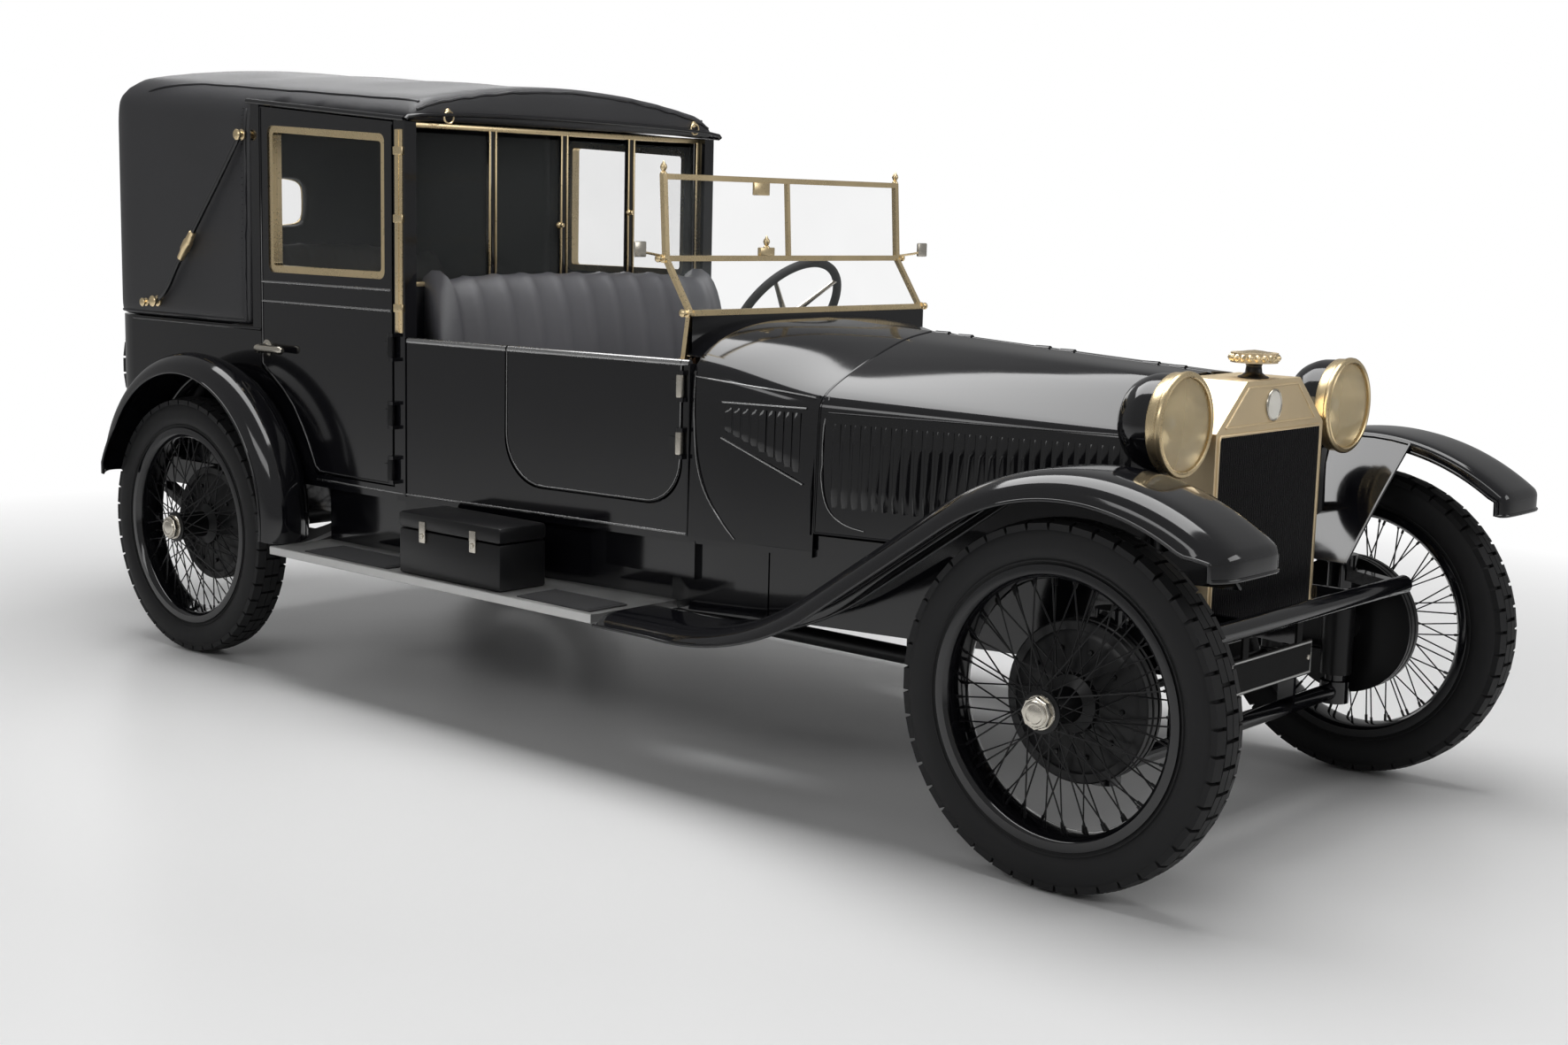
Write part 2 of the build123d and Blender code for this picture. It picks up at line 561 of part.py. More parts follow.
def rear_fenders():
    """Round rear fenders that stand against the body's side."""
    foot = degrees(asin((BOARD_TOP - REAR_ARCH_HEIGHT) / REAR_ARCH_RADIUS))
    end = 180 - degrees(asin((REAR_TIP_HEIGHT - REAR_ARCH_HEIGHT) / REAR_ARCH_RADIUS))
    centre = (aft(REAR_ARCH_STATION), 0, REAR_ARCH_HEIGHT)
    # Sheet of the fender as (y, height over the curve), low where it meets the body
    section = [(CABIN_HALF, -72), (CABIN_HALF, -60), (CABIN_HALF + 40, -24), (CABIN_HALF + 90, -4),
               (CABIN_HALF + 120, 0), (FENDER_OUTER - 20, -8), (FENDER_OUTER, -30),
               (FENDER_OUTER, -FENDER_SKIRT)]
    sheet = ribbon(section, FENDER_SHEET)

    def placed(outline, angle):
        out = (cos(radians(angle)), sin(radians(angle)))
        points = [(centre[0] + (REAR_ARCH_RADIUS + h) * out[0], y,
                   centre[2] + (REAR_ARCH_RADIUS + h) * out[1]) for y, h in outline]
        return make_face(Polyline(*points, close=True))

    turn = Axis(centre, (0, -1, 0))
    fender = revolve(placed(sheet, foot), axis=turn, revolution_arc=end - foot)
    lip_outline = section[2:-1] + [(FENDER_OUTER, -38), (CABIN_HALF + 40, -38)]
    lip = revolve(placed(lip_outline, end - 0.8), axis=turn, revolution_arc=0.8)
    PARTS["rear_fenders"] = twin(fender + lip)


def boards():
    """Running boards with their mats and the boxes that they carry."""
    front, back = BOARD_STATIONS
    plan = [(front, BOARD_OUTER), (back, BOARD_OUTER)]
    plan += [(s, board_inner(s)) for s in (back, 2240, front)]
    board = plan_prism(plan, BOARD_TOP - BOARD_THICKNESS, BOARD_TOP)
    PARTS["running_boards"] = twin(board)
    ribs = []
    for mat_front, mat_back in ((1300, 1560), (2080, 2440)):
        base = block((mat_front, mat_back), (630, 760), (BOARD_TOP, BOARD_TOP + 4))
        count = int((mat_back - mat_front) / 40)
        step = (mat_back - mat_front) / count
        lines = [block((mat_front + step * (i + 0.25), mat_front + step * (i + 0.75)), (640, 750),
                       (BOARD_TOP + 4, BOARD_TOP + 7)) for i in range(count)]
        ribs.append(base + lines)
    PARTS["step_mats"] = twin(Compound(children=ribs))
    box = side_prism([(1630, BOARD_TOP), (2030, BOARD_TOP), (2030, 556), (1630, 556)], 600, 755,
                     [0, 0, 14, 14])
    latch = block((1815, 1845), (755, 760), (500, 548))
    PARTS["tool_boxes"] = twin(box + latch)


def bonnet_section(station):
    """Outer points (y, height) of the left half of the bonnet at a station."""
    share = station / COWL_FRONT
    front = [(0, 1020), (116, 1015), (150, 978), (222, 908), (239, 893), (245, BONNET_LOW)]
    back = [(0, 1070), (100, 1046), (240, 1000), (360, 958), (428, 932), (440, BONNET_LOW)]
    return [(a + (c - a) * share, b + (d - b) * share) for (a, b), (c, d) in zip(front, back)]


def bonnet_ridge(station):
    """Height of the bonnet hinge's centre line at a station."""
    return bonnet_section(station)[0][1] - 6


def bonnet():
    """Bonnet halves with their louvres, and knuckles on the rod along the ridge."""
    sheet, back, edge = 8, COWL_FRONT - MOVING_GAP, BONNET_HINGE_RADIUS + 5
    faces = []
    for station in (BONNET_FRONT, back):
        points = bonnet_section(station)
        points[0] = (edge, points[0][1] - 4)
        faces.append(cross_face(ribbon(points, sheet), station))
    panel = loft(faces, ruled=True)
    louvres = []
    for i in range(LOUVRES):
        station = 125 + (820 - 125) * i / (LOUVRES - 1)
        y = bonnet_section(station)[-1][0]
        outline = [(station - 7, y - 10), (station + 7, y - 10), (station + 7, y + 5)]
        louvres.append(plan_prism(outline, 668, 868))
    half = panel + louvres
    # Stations where each half's knuckles start, as (side, starts)
    for side, starts in (("left", (150, 450, 750)), ("right", (220, 520, 820))):
        knuckles_on_rod = []
        for start in starts:
            ends = [(aft(s), 0, bonnet_ridge(s)) for s in (start, start + 40)]
            barrel = rod(*ends, BONNET_HINGE_RADIUS + 4) - rod(*ends, BONNET_HINGE_RADIUS + RUNNING_GAP)
            z = bonnet_ridge(start + 20)
            web = block((start, start + 40), (BONNET_HINGE_RADIUS + 2, edge + 6), (z - 5, z + 1))
            knuckles_on_rod.append(barrel + web)
        full = half + knuckles_on_rod
        PARTS[f"bonnet_{side}"] = full if side == "left" else mirror(full, about=Plane.XZ)


def cowl():
    """The cowl between the bonnet and the windscreen, with its side louvres."""
    front = bonnet_section(COWL_FRONT)[:-1] + [(440, FLOOR_TOP)]
    back = [(0, 1087), (200, 1083), (330, 1066), (440, 1030), (496, 975), (505, FLOOR_TOP)]
    rings = []
    for station, half in ((COWL_FRONT, front), (TUB_FRONT - 2, back)):
        outline = [(-y, z) for y, z in half[:0:-1]] + half
        rings.append(cross_face(ribbon(outline, 12), station))
    shell = loft(rings, ruled=True) - block((COWL_FRONT - 5, TUB_FRONT), (-600, 600), (500, FLOOR_TOP))
    top =[(-440, 1030), (-330, 1066), (-200, 1083), (0, 1087), (200, 1083), (330, 1066), (440, 1030)]
    scuttle = cross_prism(ribbon(top, 12), TUB_FRONT - 2, WINDSCREEN + 7)
    base = cross_prism([(-440, 975)] + top + [(440, 975)], WINDSCREEN - 5, WINDSCREEN + 7)
    sill = cross_prism([(-440, 1028), (-449, 1097), (449, 1097), (440, 1028)], WINDSCREEN - 5,
                       WINDSCREEN + 7)
    louvres = []
    for i in range(9):
        station = 1112 - 23 * i
        y = side_half(station)
        top_z, low_z = 886, 826 - 10 * i
        outline = [(station - 7, y - 16), (station + 7, y - 16), (station + 7, y + 2)]
        for sign in (-1, 1):
            ring = [(s, sign * w) for s, w in outline]
            louvres.append(plan_prism(ring, low_z, top_z))
    ends = [(aft(s), 0, bonnet_ridge(s)) for s in (BONNET_FRONT - MOVING_GAP, COWL_FRONT + 6)]
    hinge_rod = rod(*ends, BONNET_HINGE_RADIUS)
    inside = [(y * 0.985, max(z - 6, FLOOR_TOP)) for y, z in front]
    bulkhead = cross_prism([(-y, z) for y, z in inside[:0:-1]] + inside, COWL_FRONT + 4, COWL_FRONT + 10)
    rail = along(HULL_PLAN, COWL_FRONT)
    bulkhead -= [block((COWL_FRONT, COWL_FRONT + 20), (sign * (rail - 16), sign * (rail + 4)),
                       (FLOOR_TOP - 10, HULL_TOP + RUNNING_GAP)) for sign in (-1, 1)]
    PARTS["cowl"] = shell + scuttle + base + sill + louvres + hinge_rod + bulkhead
    PARTS["dashboard"] = block((WINDSCREEN + 7, WINDSCREEN + 25), (-436, 436), (930, 1080)) \
        + [rod((aft(WINDSCREEN + 25), y, 1000), (aft(WINDSCREEN + 34), y, 1000), 42) for y in (-60, 60)]


def slanted(low, high, thickness, span):
    """A plate between two (station, height) points, that thick along the car and that wide."""
    return side_prism([low, high, (high[0] + thickness, high[1]), (low[0] + thickness, low[1])], *span)


def windscreen():
    """The brass frame with its raked lower pane, and the glass."""
    size = 14
    half = size / 2
    # Front faces of the bars as (station, height of the middle)
    low, middle, top = (WINDSCREEN, SCREEN_LOW), (WINDSCREEN + 86, SCREEN_MIDDLE), (WINDSCREEN + 98, SCREEN_TOP)
    line = [(WINDSCREEN + 17, BELT + 5), low, middle, (top[0] + 1, top[1] + half - 1)]
    post = side_prism(line + [(s + size, z) for s, z in line[::-1]], 451, 465)
    foot = block((WINDSCREEN + 5, WINDSCREEN + 37), (451, 500), (BELT, BELT + 6))
    posts = [post, foot]
    posts += [mirror(p, about=Plane.XZ) for p in (post, foot)]
    bars = [block((s, s + size), (-451, 451), (z - half, z + half)) for s, z in (low, middle, top)]
    divider = slanted((middle[0] + 1, middle[1]), (top[0] + 1, top[1] + half - 1), 12, (-5, 5))
    PARTS["windscreen_frame"] = Part() + posts + bars + [divider]
    lower = slanted((low[0] + 9, low[1] + half), (middle[0], middle[1] - half), 6, (-451, 451))
    panes = [slanted((middle[0] + 7, middle[1] + half), (top[0] + 5, top[1] - half), 6, span)
             for span in ((-451, -5), (5, 451))]
    return [lower, *panes]


def rounded_opening(stations, heights, radii, grow):
    """A door's outline, made larger by a gap."""
    (front, back), (low, high) = stations, heights
    outline = [(front - grow, high), (back + grow, high), (back + grow, low - grow),
               (front - grow, low - grow)]
    return outline, [0, 0, radii[0], radii[1]]


def driver_body():
    """The sides of the open driving compartment, cut for the front doors."""
    wall = wall_panel([(TUB_FRONT, FLOOR_TOP), (CABIN_FRONT - 1, FLOOR_TOP), (CABIN_FRONT - 1, BELT),
                       (TUB_FRONT, BELT)])
    outline, radii = rounded_opening(FRONT_DOOR, (FRONT_DOOR_LOW, BELT + 1), (130, 110), MOVING_GAP)
    side = wall - side_prism(outline, 0, FENDER_OUTER, radii)
    PARTS["driver_body"] = twin(side + hinge_lugs(FRONT_DOOR[0], FRONT_HINGES))


def hinge_axis(station):
    """Plan place of a door hinge's pin, as (station, y) on the left side."""
    return station - 3, side_half(station) + DOOR_HINGE_RADIUS + 1


def hinges(station, heights):
    """Barrels and leaves of the left door's hinges, bored for their pins."""
    s, y = hinge_axis(station)
    face = side_half(station)
    parts = []
    for z in heights:
        barrel = rod((aft(s), y, z - 28), (aft(s), y, z + 28), DOOR_HINGE_RADIUS)
        leaf = block((s, station + 34), (face - 2, face + 8), (z - 14, z + 14))
        bore = rod((aft(s), y, z - 29), (aft(s), y, z + 29), DOOR_PIN_RADIUS + RUNNING_GAP)
        parts.append((barrel + leaf) - bore)
    return parts


def hinge_lugs(station, heights):
    """Lugs on the left body side that hold the pins of a door's hinges."""
    s, y = hinge_axis(station)
    face = side_half(station)
    parts = []
    for z in heights:
        pin = rod((aft(s), y, z - 38), (aft(s), y, z + 38), DOOR_PIN_RADIUS)
        for low, high in ((z - 38, z - 28 - RUNNING_GAP), (z + 28 + RUNNING_GAP, z + 38)):
            pin += rod((aft(s), y, low), (aft(s), y, high), DOOR_HINGE_RADIUS)
            pin += block((s - 17, s), (face - 6, face + 18), (low, high))
        parts.append(pin)
    return parts


def front_doors():
    """Low doors of the driving compartment."""
    outline, radii = rounded_opening(FRONT_DOOR, (FRONT_DOOR_LOW, BELT), (130, 110), 0)
    panel = wall_panel(outline, radii)
    both("front_door", panel + hinges(FRONT_DOOR[0], FRONT_HINGES))


def rear_door_outline(grow):
    """Outline of the rear door, made larger by a gap, with its hollow over the fender."""
    front, back = REAR_DOOR
    top = lambda s: gutter(s) - MOVING_GAP + grow
    low = REAR_DOOR_LOW - grow
    hollow = [(2600, REAR_DOOR_LOW), (2639, 664), (2708, 760), (2756, 805), (2822, 850), (back, 874)]
    return [(front - grow, low)] + [(s + grow, z - grow) for s, z in hollow] \
        + [(back + grow, top(back)), (front - grow, top(front))]


def window_top(station):
    """Height of the rear door window's upper edge at a station."""
    return 1536 + 0.05 * (station - WINDOW[0])


def rear_doors():
    """Cabin doors with brass window frames, glass and handles."""
    radii = [0, 20, 120, 120, 120, 120, 30, 0, 0]
    panel = wall_panel(rear_door_outline(0), radii)
    front, back = WINDOW
    opening = [(front, WINDOW_LOW), (back, WINDOW_LOW), (back, window_top(back)),
               (front, window_top(front))]
    corner = 22
    hole = side_prism(opening, 0, FENDER_OUTER, corner)
    # The handle clears the fender's crown
    handle_s, handle_z = REAR_DOOR[1] - 24, REAR_ARCH_HEIGHT + REAR_ARCH_RADIUS + 21
    boss = across(handle_s, handle_z, CABIN_HALF - 2, CABIN_HALF + 30, 12)
    lever = block((handle_s - 110, handle_s + 8), (CABIN_HALF + 22, CABIN_HALF + 34),
                  (handle_z - 8, handle_z + 8))
    both("rear_door", (panel - hole) + hinges(REAR_DOOR[0], REAR_HINGES) + [boss, lever])
    slim = [(front + 20, WINDOW_LOW + 20), (back - 20, WINDOW_LOW + 20),
            (back - 20, window_top(back) - 20), (front + 20, window_top(front) - 20)]
    frame = side_prism(opening, CABIN_HALF - 34, CABIN_HALF - 4, corner) \
        - side_prism(slim, CABIN_HALF - 35, CABIN_HALF, 10)
    both("rear_door_frame", frame)
    both("rear_door_glass", side_prism(slim, CABIN_HALF - 22, CABIN_HALF - 16, 10))


def cabin_plan(inset, front):
    """Plan of the cabin as a face, with round rear corners."""
    half, back, corner = CABIN_HALF - inset, BODY_BACK - inset, CABIN_CORNER - inset
    points = [(front, -half), (back, -half), (back, half), (front, half)]
    return plan_prism(points, 300, 1900, [0, corner, corner, 0])


def back_profile(inset):
    """Side view of the cabin's rear, as a prism over the full width."""
    back = BODY_BACK - inset
    top = 1790 - inset
    edges = [
        Line((aft(1500), -900, 300), (aft(1500), -900, top)),
        Line((aft(1500), -900, top), (aft(3150), -900, top)),
        ThreePointArc((aft(3150), -900, top), (aft(3565), -900, top - 82), (aft(back - 12), -900, 1500)),
        ThreePointArc((aft(back - 12), -900, 1500), (aft(back), -900, 1250), (aft(back - 50), -900, BELT)),
        Line((aft(back - 50), -900, BELT), (aft(back - 120), -900, FLOOR_TOP)),
        Line((aft(back - 120), -900, FLOOR_TOP), (aft(back - 120), -900, 300)),
        Line((aft(back - 120), -900, 300), (aft(1500), -900, 300)),
    ]
    return extrude(make_face(edges), amount=1800, dir=(0, 1, 0))


def roof_section(inset, front):
    """The roof's crowned cross-section, pulled back along its slope."""
    half, crown = CABIN_HALF + 6 - inset, ROOF_CROWN - inset
    x = aft(front)
    start = front - CABIN_FRONT
    lift = ROOF_SLOPE * start
    edges = [
        ThreePointArc((x, -500, crown - 46 + lift), (x, 0, crown + lift), (x, 500, crown - 46 + lift)),
        ThreePointArc((x, 500, crown - 46 + lift), (x, half - 30, crown - 84 + lift),
                      (x, half, crown - 150 + lift)),
        Line((x, half, crown - 150 + lift), (x, half, 300)),
        Line((x, half, 300), (x, -half, 300)),
        Line((x, -half, 300), (x, -half, crown - 150 + lift)),
        ThreePointArc((x, -half, crown - 150 + lift), (x, -half + 30, crown - 84 + lift),
                      (x, -500, crown - 46 + lift)),
    ]
    run = BODY_BACK + 60 - front
    return extrude(make_face(edges), amount=run, dir=(-1, 0, ROOF_SLOPE))


def cabin_solid(inset):
    """The closed cabin's outer form, or its inner one when inset by a wall."""
    return cabin_plan(inset, CABIN_FRONT - 20) & back_profile(inset)


def leather_head():
    """The leather-covered roof, back and quarters, as one shell."""
    front = CABIN_FRONT - 15
    outer = cabin_plan(-6, front) & back_profile(-6) & roof_section(0, front)
    inner = cabin_plan(WALL, front + WALL) & back_profile(WALL) & roof_section(WALL, front + WALL)
    tall = 2000
    region = side_prism([(front - 5, gutter(front - 5)), (HOOD_FRONT, gutter(HOOD_FRONT)),
                         (HOOD_FRONT + 12, BELT), (BODY_BACK + 60, BELT), (BODY_BACK + 60, tall),
                         (front - 5, tall)], -900, 900)
    light = block((BODY_BACK - 200, BODY_BACK + 60), (-150, 150), (1270, 1420))
    light = fillet(light.edges().filter_by(Axis.X), 40)
    PARTS["leather_head"] = ((outer - inner) & region) - light
    return (back_profile(12) - back_profile(20)) & light


def cabin_body():
    """The cabin's painted quarters and back below the leather, with the posts round the doors."""
    outer = cabin_plan(0, CABIN_FRONT) & back_profile(0)
    inner = cabin_plan(WALL, CABIN_FRONT - 1) & back_profile(WALL)
    lower = side_prism([(CABIN_FRONT, FLOOR_TOP), (BODY_BACK + 10, FLOOR_TOP), (BODY_BACK + 10, BELT),
                        (CABIN_FRONT, BELT)], -900, 900)
    ring = (outer - inner) & lower
    posts = []
    for front, back in ((CABIN_FRONT, REAR_DOOR[0] - MOVING_GAP), (REAR_DOOR[1] + MOVING_GAP, 2905)):
        outline = [(front, FLOOR_TOP), (back, FLOOR_TOP), (back, gutter(back)), (front, gutter(front))]
        post = side_prism(outline, CABIN_HALF - WALL, CABIN_HALF)
        posts += [post, mirror(post, about=Plane.XZ)]
    opening = side_prism(rear_door_outline(MOVING_GAP), -900, 900)
    lugs = hinge_lugs(REAR_DOOR[0], REAR_HINGES)
    lugs += [mirror(lug, about=Plane.XZ) for lug in lugs]
    PARTS["cabin_body"] = ((ring + posts) - opening) + lugs


def division():
    """The wall behind the driver: a panelled lower part, and brass-framed panes above it."""
    half = CABIN_HALF - WALL
    PARTS["division_panel"] = block((DIVISION - 10, DIVISION + 10), (-half, half), (FLOOR_TOP, WAIST))
    top = gutter(DIVISION - 9)
    rails = [block((DIVISION - 9, DIVISION + 9), (-half, half), (WAIST, WAIST + 20)),
             block((DIVISION - 9, DIVISION + 9), (-half, half), (top - 28, top))]
    stiles = [block((DIVISION - 9, DIVISION + 9), (y - w, y + w), (WAIST, top))
              for y, w in ((-half + 11, 11), (-270, 8), (0, 8), (270, 8), (half - 11, 11))]
    PARTS["division_frame"] = Part() + rails + stiles
    edges = [-half + 22, -278, -262, -8, 8, 262, 278, half - 22]
    panes = [block((DIVISION - 3, DIVISION + 3), (a, b), (WAIST + 20, top - 28))
             for a, b in zip(edges[::2], edges[1::2])]
    return panes


def landau_irons():
    """S-shaped irons on the leather quarters, with their knuckles."""
    inner, outer = CABIN_HALF + 6 + RUNNING_GAP, CABIN_HALF + 20
    arcs = [((2933, 1536), (3020, 1345), (3240, 1250)), ((3240, 1250), (3385, 1185), (3393, 1036))]
    parts = []
    for a, b, c in arcs:
        edge = ThreePointArc(*[(aft(s), inner + 4, z) for s, z in (a, b, c)])
        start = Plane(origin=edge @ 0, z_dir=edge % 0, x_dir=(0, 1, 0))
        parts.append(sweep(start * Rectangle(8, 14), path=edge))
    for s, z, r in ((2933, 1536, 17), (3240, 1250, 24), (3393, 1036, 20), (3450, 1030, 14)):
        parts.append(across(s, z, inner, outer, r))
    parts.append(block((3393, 3450), (inner, outer - 6), (1026, 1040)))
    PARTS["landau_irons"] = twin(Part() + parts)


def seats():
    """Bench boxes, cushions and backs of the driver's seat and of the cabin seat."""
    half = CABIN_HALF - WALL - 6
    # Front station, box height, back's front and rear stations, back's top, half width
    rows = [(DIVISION - 535, 730, DIVISION - 155, DIVISION - 10.3, 1130, 500),
            (BODY_BACK - 715, 740, BODY_BACK - 295, BODY_BACK - 155, 1180, half - 30)]
    boxes, cushions, backs = [], [], []
    for front, height, back_front, back_rear, top, width in rows:
        boxes.append(block((front + 30, back_rear - 60), (-width, width), (FLOOR_TOP, height)))
        pad = block((front, back_front - 1), (-width, width), (height + RUNNING_GAP, height + 150))
        cushions.append(fillet(pad.edges(), 30))
        rest = side_prism([(back_front, height + RUNNING_GAP), (back_rear - 60, height + RUNNING_GAP),
                           (back_rear, top), (back_front + 50, top)], -width, width)
        backs.append(fillet(rest.edges(), 24))
    PARTS["seat_boxes"] = Compound(children=boxes)
    PARTS["seat_cushions"] = Compound(children=cushions)
    PARTS["seat_backs"] = Compound(children=backs)


def steering():
    """The column, and the wheel that turns at its top."""
    s, y, z = COLUMN_TOP
    slope = radians(COLUMN_RAKE)
    up = Vector(-cos(slope), 0, sin(slope))
    top = Vector(aft(s), y, z)
    foot = top - up * 760
    column = rod(tuple(foot), tuple(top - up * (24 + RUNNING_GAP)), 19)
    gate = rod(tuple(top - up * 120), tuple(top - up * 60), 26)
    stay = block((WINDSCREEN + 12, WINDSCREEN + 24), (y - 10, y + 10), (852, 930))
    PARTS["steering_column"] = column + gate + stay
    plane = Plane(origin=tuple(top), z_dir=up, x_dir=(0, 1, 0))
    rim = plane * Torus(STEERING_WHEEL_RADIUS - 12, 12)
    hub = plane * Pos(0, 0, -6) * Cylinder(28, 36)
    arms = [plane * Rot(0, 0, 45 + 90 * i) * Pos((STEERING_WHEEL_RADIUS - 12) / 2, 0, 0)
            * Box(STEERING_WHEEL_RADIUS - 14, 16, 8) for i in range(4)]
    PARTS["steering_wheel"] = Part() + [rim, hub, *arms]


def controls():
    """Gear lever and hand brake, which stand on the floor between the seats."""
    levers = []
    for y, tilt, top in ((0, 60, 880), (-70, 20, 820)):
        stem = rod((aft(1600), y, FLOOR_TOP + 4), (aft(1600 + tilt), y, top), 8)
        knob = Pos(aft(1600 + tilt), y, top + 10) * Sphere(20)
        base = block((1580, 1620), (y - 20, y + 20), (FLOOR_TOP, FLOOR_TOP + 8))
        levers.append(stem + knob + base)
    PARTS["control_levers"] = Compound(children=levers)


def plate():
    """The blank number plate under the front tube."""
    s = TUBE_STATION
    panel = block((s - 3, s + 3), (-320, 40), (370, 448))
    panel -= [rod((aft(s - 4), y, 409), (aft(s + 4), y, 409), 3) for y in (-305, 25)]
    tabs = [block((s - 3, s + 3), (y - 12, y + 12), (440, TUBE_HEIGHT - 22)) for y in (-260, -20)]
    PARTS["number_plate"] = panel + tabs


wheels()
knuckles()
front_frame()
hull()
rear_axle()
power_train()
radiator()
headlamps()
front_fenders()
rear_fenders()
boards()
bonnet()
cowl()
driver_body()
front_doors()
rear_doors()
cabin_body()
PARTS["fixed_glass"] = Compound(children=[*windscreen(), *division(), leather_head()])
landau_irons()
seats()
steering()
controls()
plate()

os.makedirs("parts", exist_ok=True)
for name, shape in PARTS.items():
    export_step(Pos(0, 0, LIFT) * shape, f"parts/{name}.step")
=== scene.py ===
# %% [markdown]
# # A coupe de ville of the 1920s
# The car has a long bonnet, an open seat for the driver and a closed cabin with a leather head.
# The CAD model is loaded first and never changed. Everything that is made here either dresses one
# of its bodies or stands for one of its parts, in the same frame: +X is forward, +Y is the car's
# left, +Z is up, and lengths are in metres.

import json
from math import asin, cos, pi, radians, sin, tan

import bmesh
import bpy
from mathutils import Matrix, Vector
from mathutils.bvhtree import BVHTree


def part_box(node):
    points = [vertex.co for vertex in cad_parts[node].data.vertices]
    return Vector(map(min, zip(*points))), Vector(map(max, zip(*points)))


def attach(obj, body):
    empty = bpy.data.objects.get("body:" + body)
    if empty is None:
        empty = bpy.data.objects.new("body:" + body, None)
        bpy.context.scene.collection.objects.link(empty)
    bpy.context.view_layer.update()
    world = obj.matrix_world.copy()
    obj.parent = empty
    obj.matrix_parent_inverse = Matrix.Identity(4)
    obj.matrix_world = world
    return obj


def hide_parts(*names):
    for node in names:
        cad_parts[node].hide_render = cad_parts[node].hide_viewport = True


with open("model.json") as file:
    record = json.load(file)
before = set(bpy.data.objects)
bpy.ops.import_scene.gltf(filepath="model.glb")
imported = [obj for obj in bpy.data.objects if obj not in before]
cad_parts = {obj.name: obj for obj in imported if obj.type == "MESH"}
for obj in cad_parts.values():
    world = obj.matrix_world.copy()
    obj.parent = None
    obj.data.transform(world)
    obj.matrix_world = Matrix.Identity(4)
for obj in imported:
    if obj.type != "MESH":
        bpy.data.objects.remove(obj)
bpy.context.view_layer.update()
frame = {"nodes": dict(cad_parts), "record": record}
GIVEN_FINISHES = len(bpy.data.materials)

# %% [markdown]
# ## Measures
# The body was drawn from the front axle backwards, so places are given as a distance behind that
# axle, a distance to the left and a height. The wheel's middle is read from the frame.

# %% Measures from the frame
low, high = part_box("tyre_front_left")
AXLE = (low + high) / 2
REAR_AXLE = sum(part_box("tyre_rear_left"), Vector()) / 2
SPARE = sum(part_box("spare_tyre"), Vector()) / 2
TYRE_RADIUS = high.z - AXLE.z


def at(back, y, z):
    """The point that far behind the front axle, to the left and up."""
    return Vector((AXLE.x - back, y, z))


def in_mm(point):
    """A point in whole millimetres, to be printed."""
    return [round(1000 * c) for c in point]


print("front axle", in_mm(AXLE), "rear axle", in_mm(REAR_AXLE), "tyre radius", round(TYRE_RADIUS, 4))

# %% [markdown]
# ## Camera and light
# The photograph was taken from ahead of the car's right front corner, at a person's chest height.
# The camera's place was solved from the wheels, so it is written as a point and two directions.
# The light is a plain studio: a soft white ceiling, three weaker lamps at the sides, and a white
# backdrop that the camera, the polished metal and the glass all see.

# %% Camera
CAMERA_PLACE = Vector((4.058, -4.0938, 1.3598))
CAMERA_RIGHT = Vector((0.75018, 0.66078, 0.02452))
CAMERA_UP = Vector((-0.11785, 0.09713, 0.98827))
camera = bpy.data.objects.new("camera", bpy.data.cameras.new("camera"))
bpy.context.scene.collection.objects.link(camera)
camera.matrix_world = Matrix.Translation(CAMERA_PLACE) @ Matrix(
    (CAMERA_RIGHT, CAMERA_UP, CAMERA_RIGHT.cross(CAMERA_UP))).transposed().to_4x4()
camera.data.sensor_width = 36
camera.data.lens = 47.07
bpy.context.scene.camera = camera
bpy.context.scene.view_settings.view_transform = "Standard"
print("lens:", round(camera.data.lens, 2), "mm")

# %% Lamps


def lamp(name, place, aim, size, power):
    """A soft rectangular lamp that points at a place."""
    data = bpy.data.lights.new(name, "AREA")
    data.shape, data.size, data.size_y, data.energy = "RECTANGLE", size[0], size[1], power
    made = bpy.data.objects.new(name, data)
    bpy.context.scene.collection.objects.link(made)
    made.location = place
    made.rotation_euler = (Vector(aim) - Vector(place)).to_track_quat("-Z", "Y").to_euler()


lamp("ceiling", (-0.3, 0, 4.6), (-0.3, 0, 0), (6.0, 3.0), 250)
lamp("right_side", (1.5, -5.5, 3.6), (0.2, 0, 0.6), (5.0, 1.2), 50)
lamp("front_side", (6.0, 2.0, 3.0), (1.2, 0, 0.6), (3.0, 2.0), 45)
lamp("rear_side", (-5.5, 3.0, 3.0), (-1.0, 0, 0.8), (3.0, 2.0), 35)
print("lamps:", len(bpy.data.lights))

# %% [markdown]
# The world has two brightnesses. One is what the camera, the glass and, by a small share, the
# polished metal see: pure white. The other is what lights the car, and it is much weaker, so that
# the paint stays black. A Light Path node tells the two kinds of ray apart.

# %% World
SEEN, SHED, GLOSSY_SHARE = 1.0, 0.20, 0.12
world = bpy.data.worlds.new("studio")
bpy.context.scene.world = world
world.use_nodes = True
sky = world.node_tree
sky.nodes.clear()


def white(strength):
    """A white background of that strength."""
    made = sky.nodes.new("ShaderNodeBackground")
    made.inputs["Color"].default_value = (1, 1, 1, 1)
    made.inputs["Strength"].default_value = strength
    return made.outputs[0]


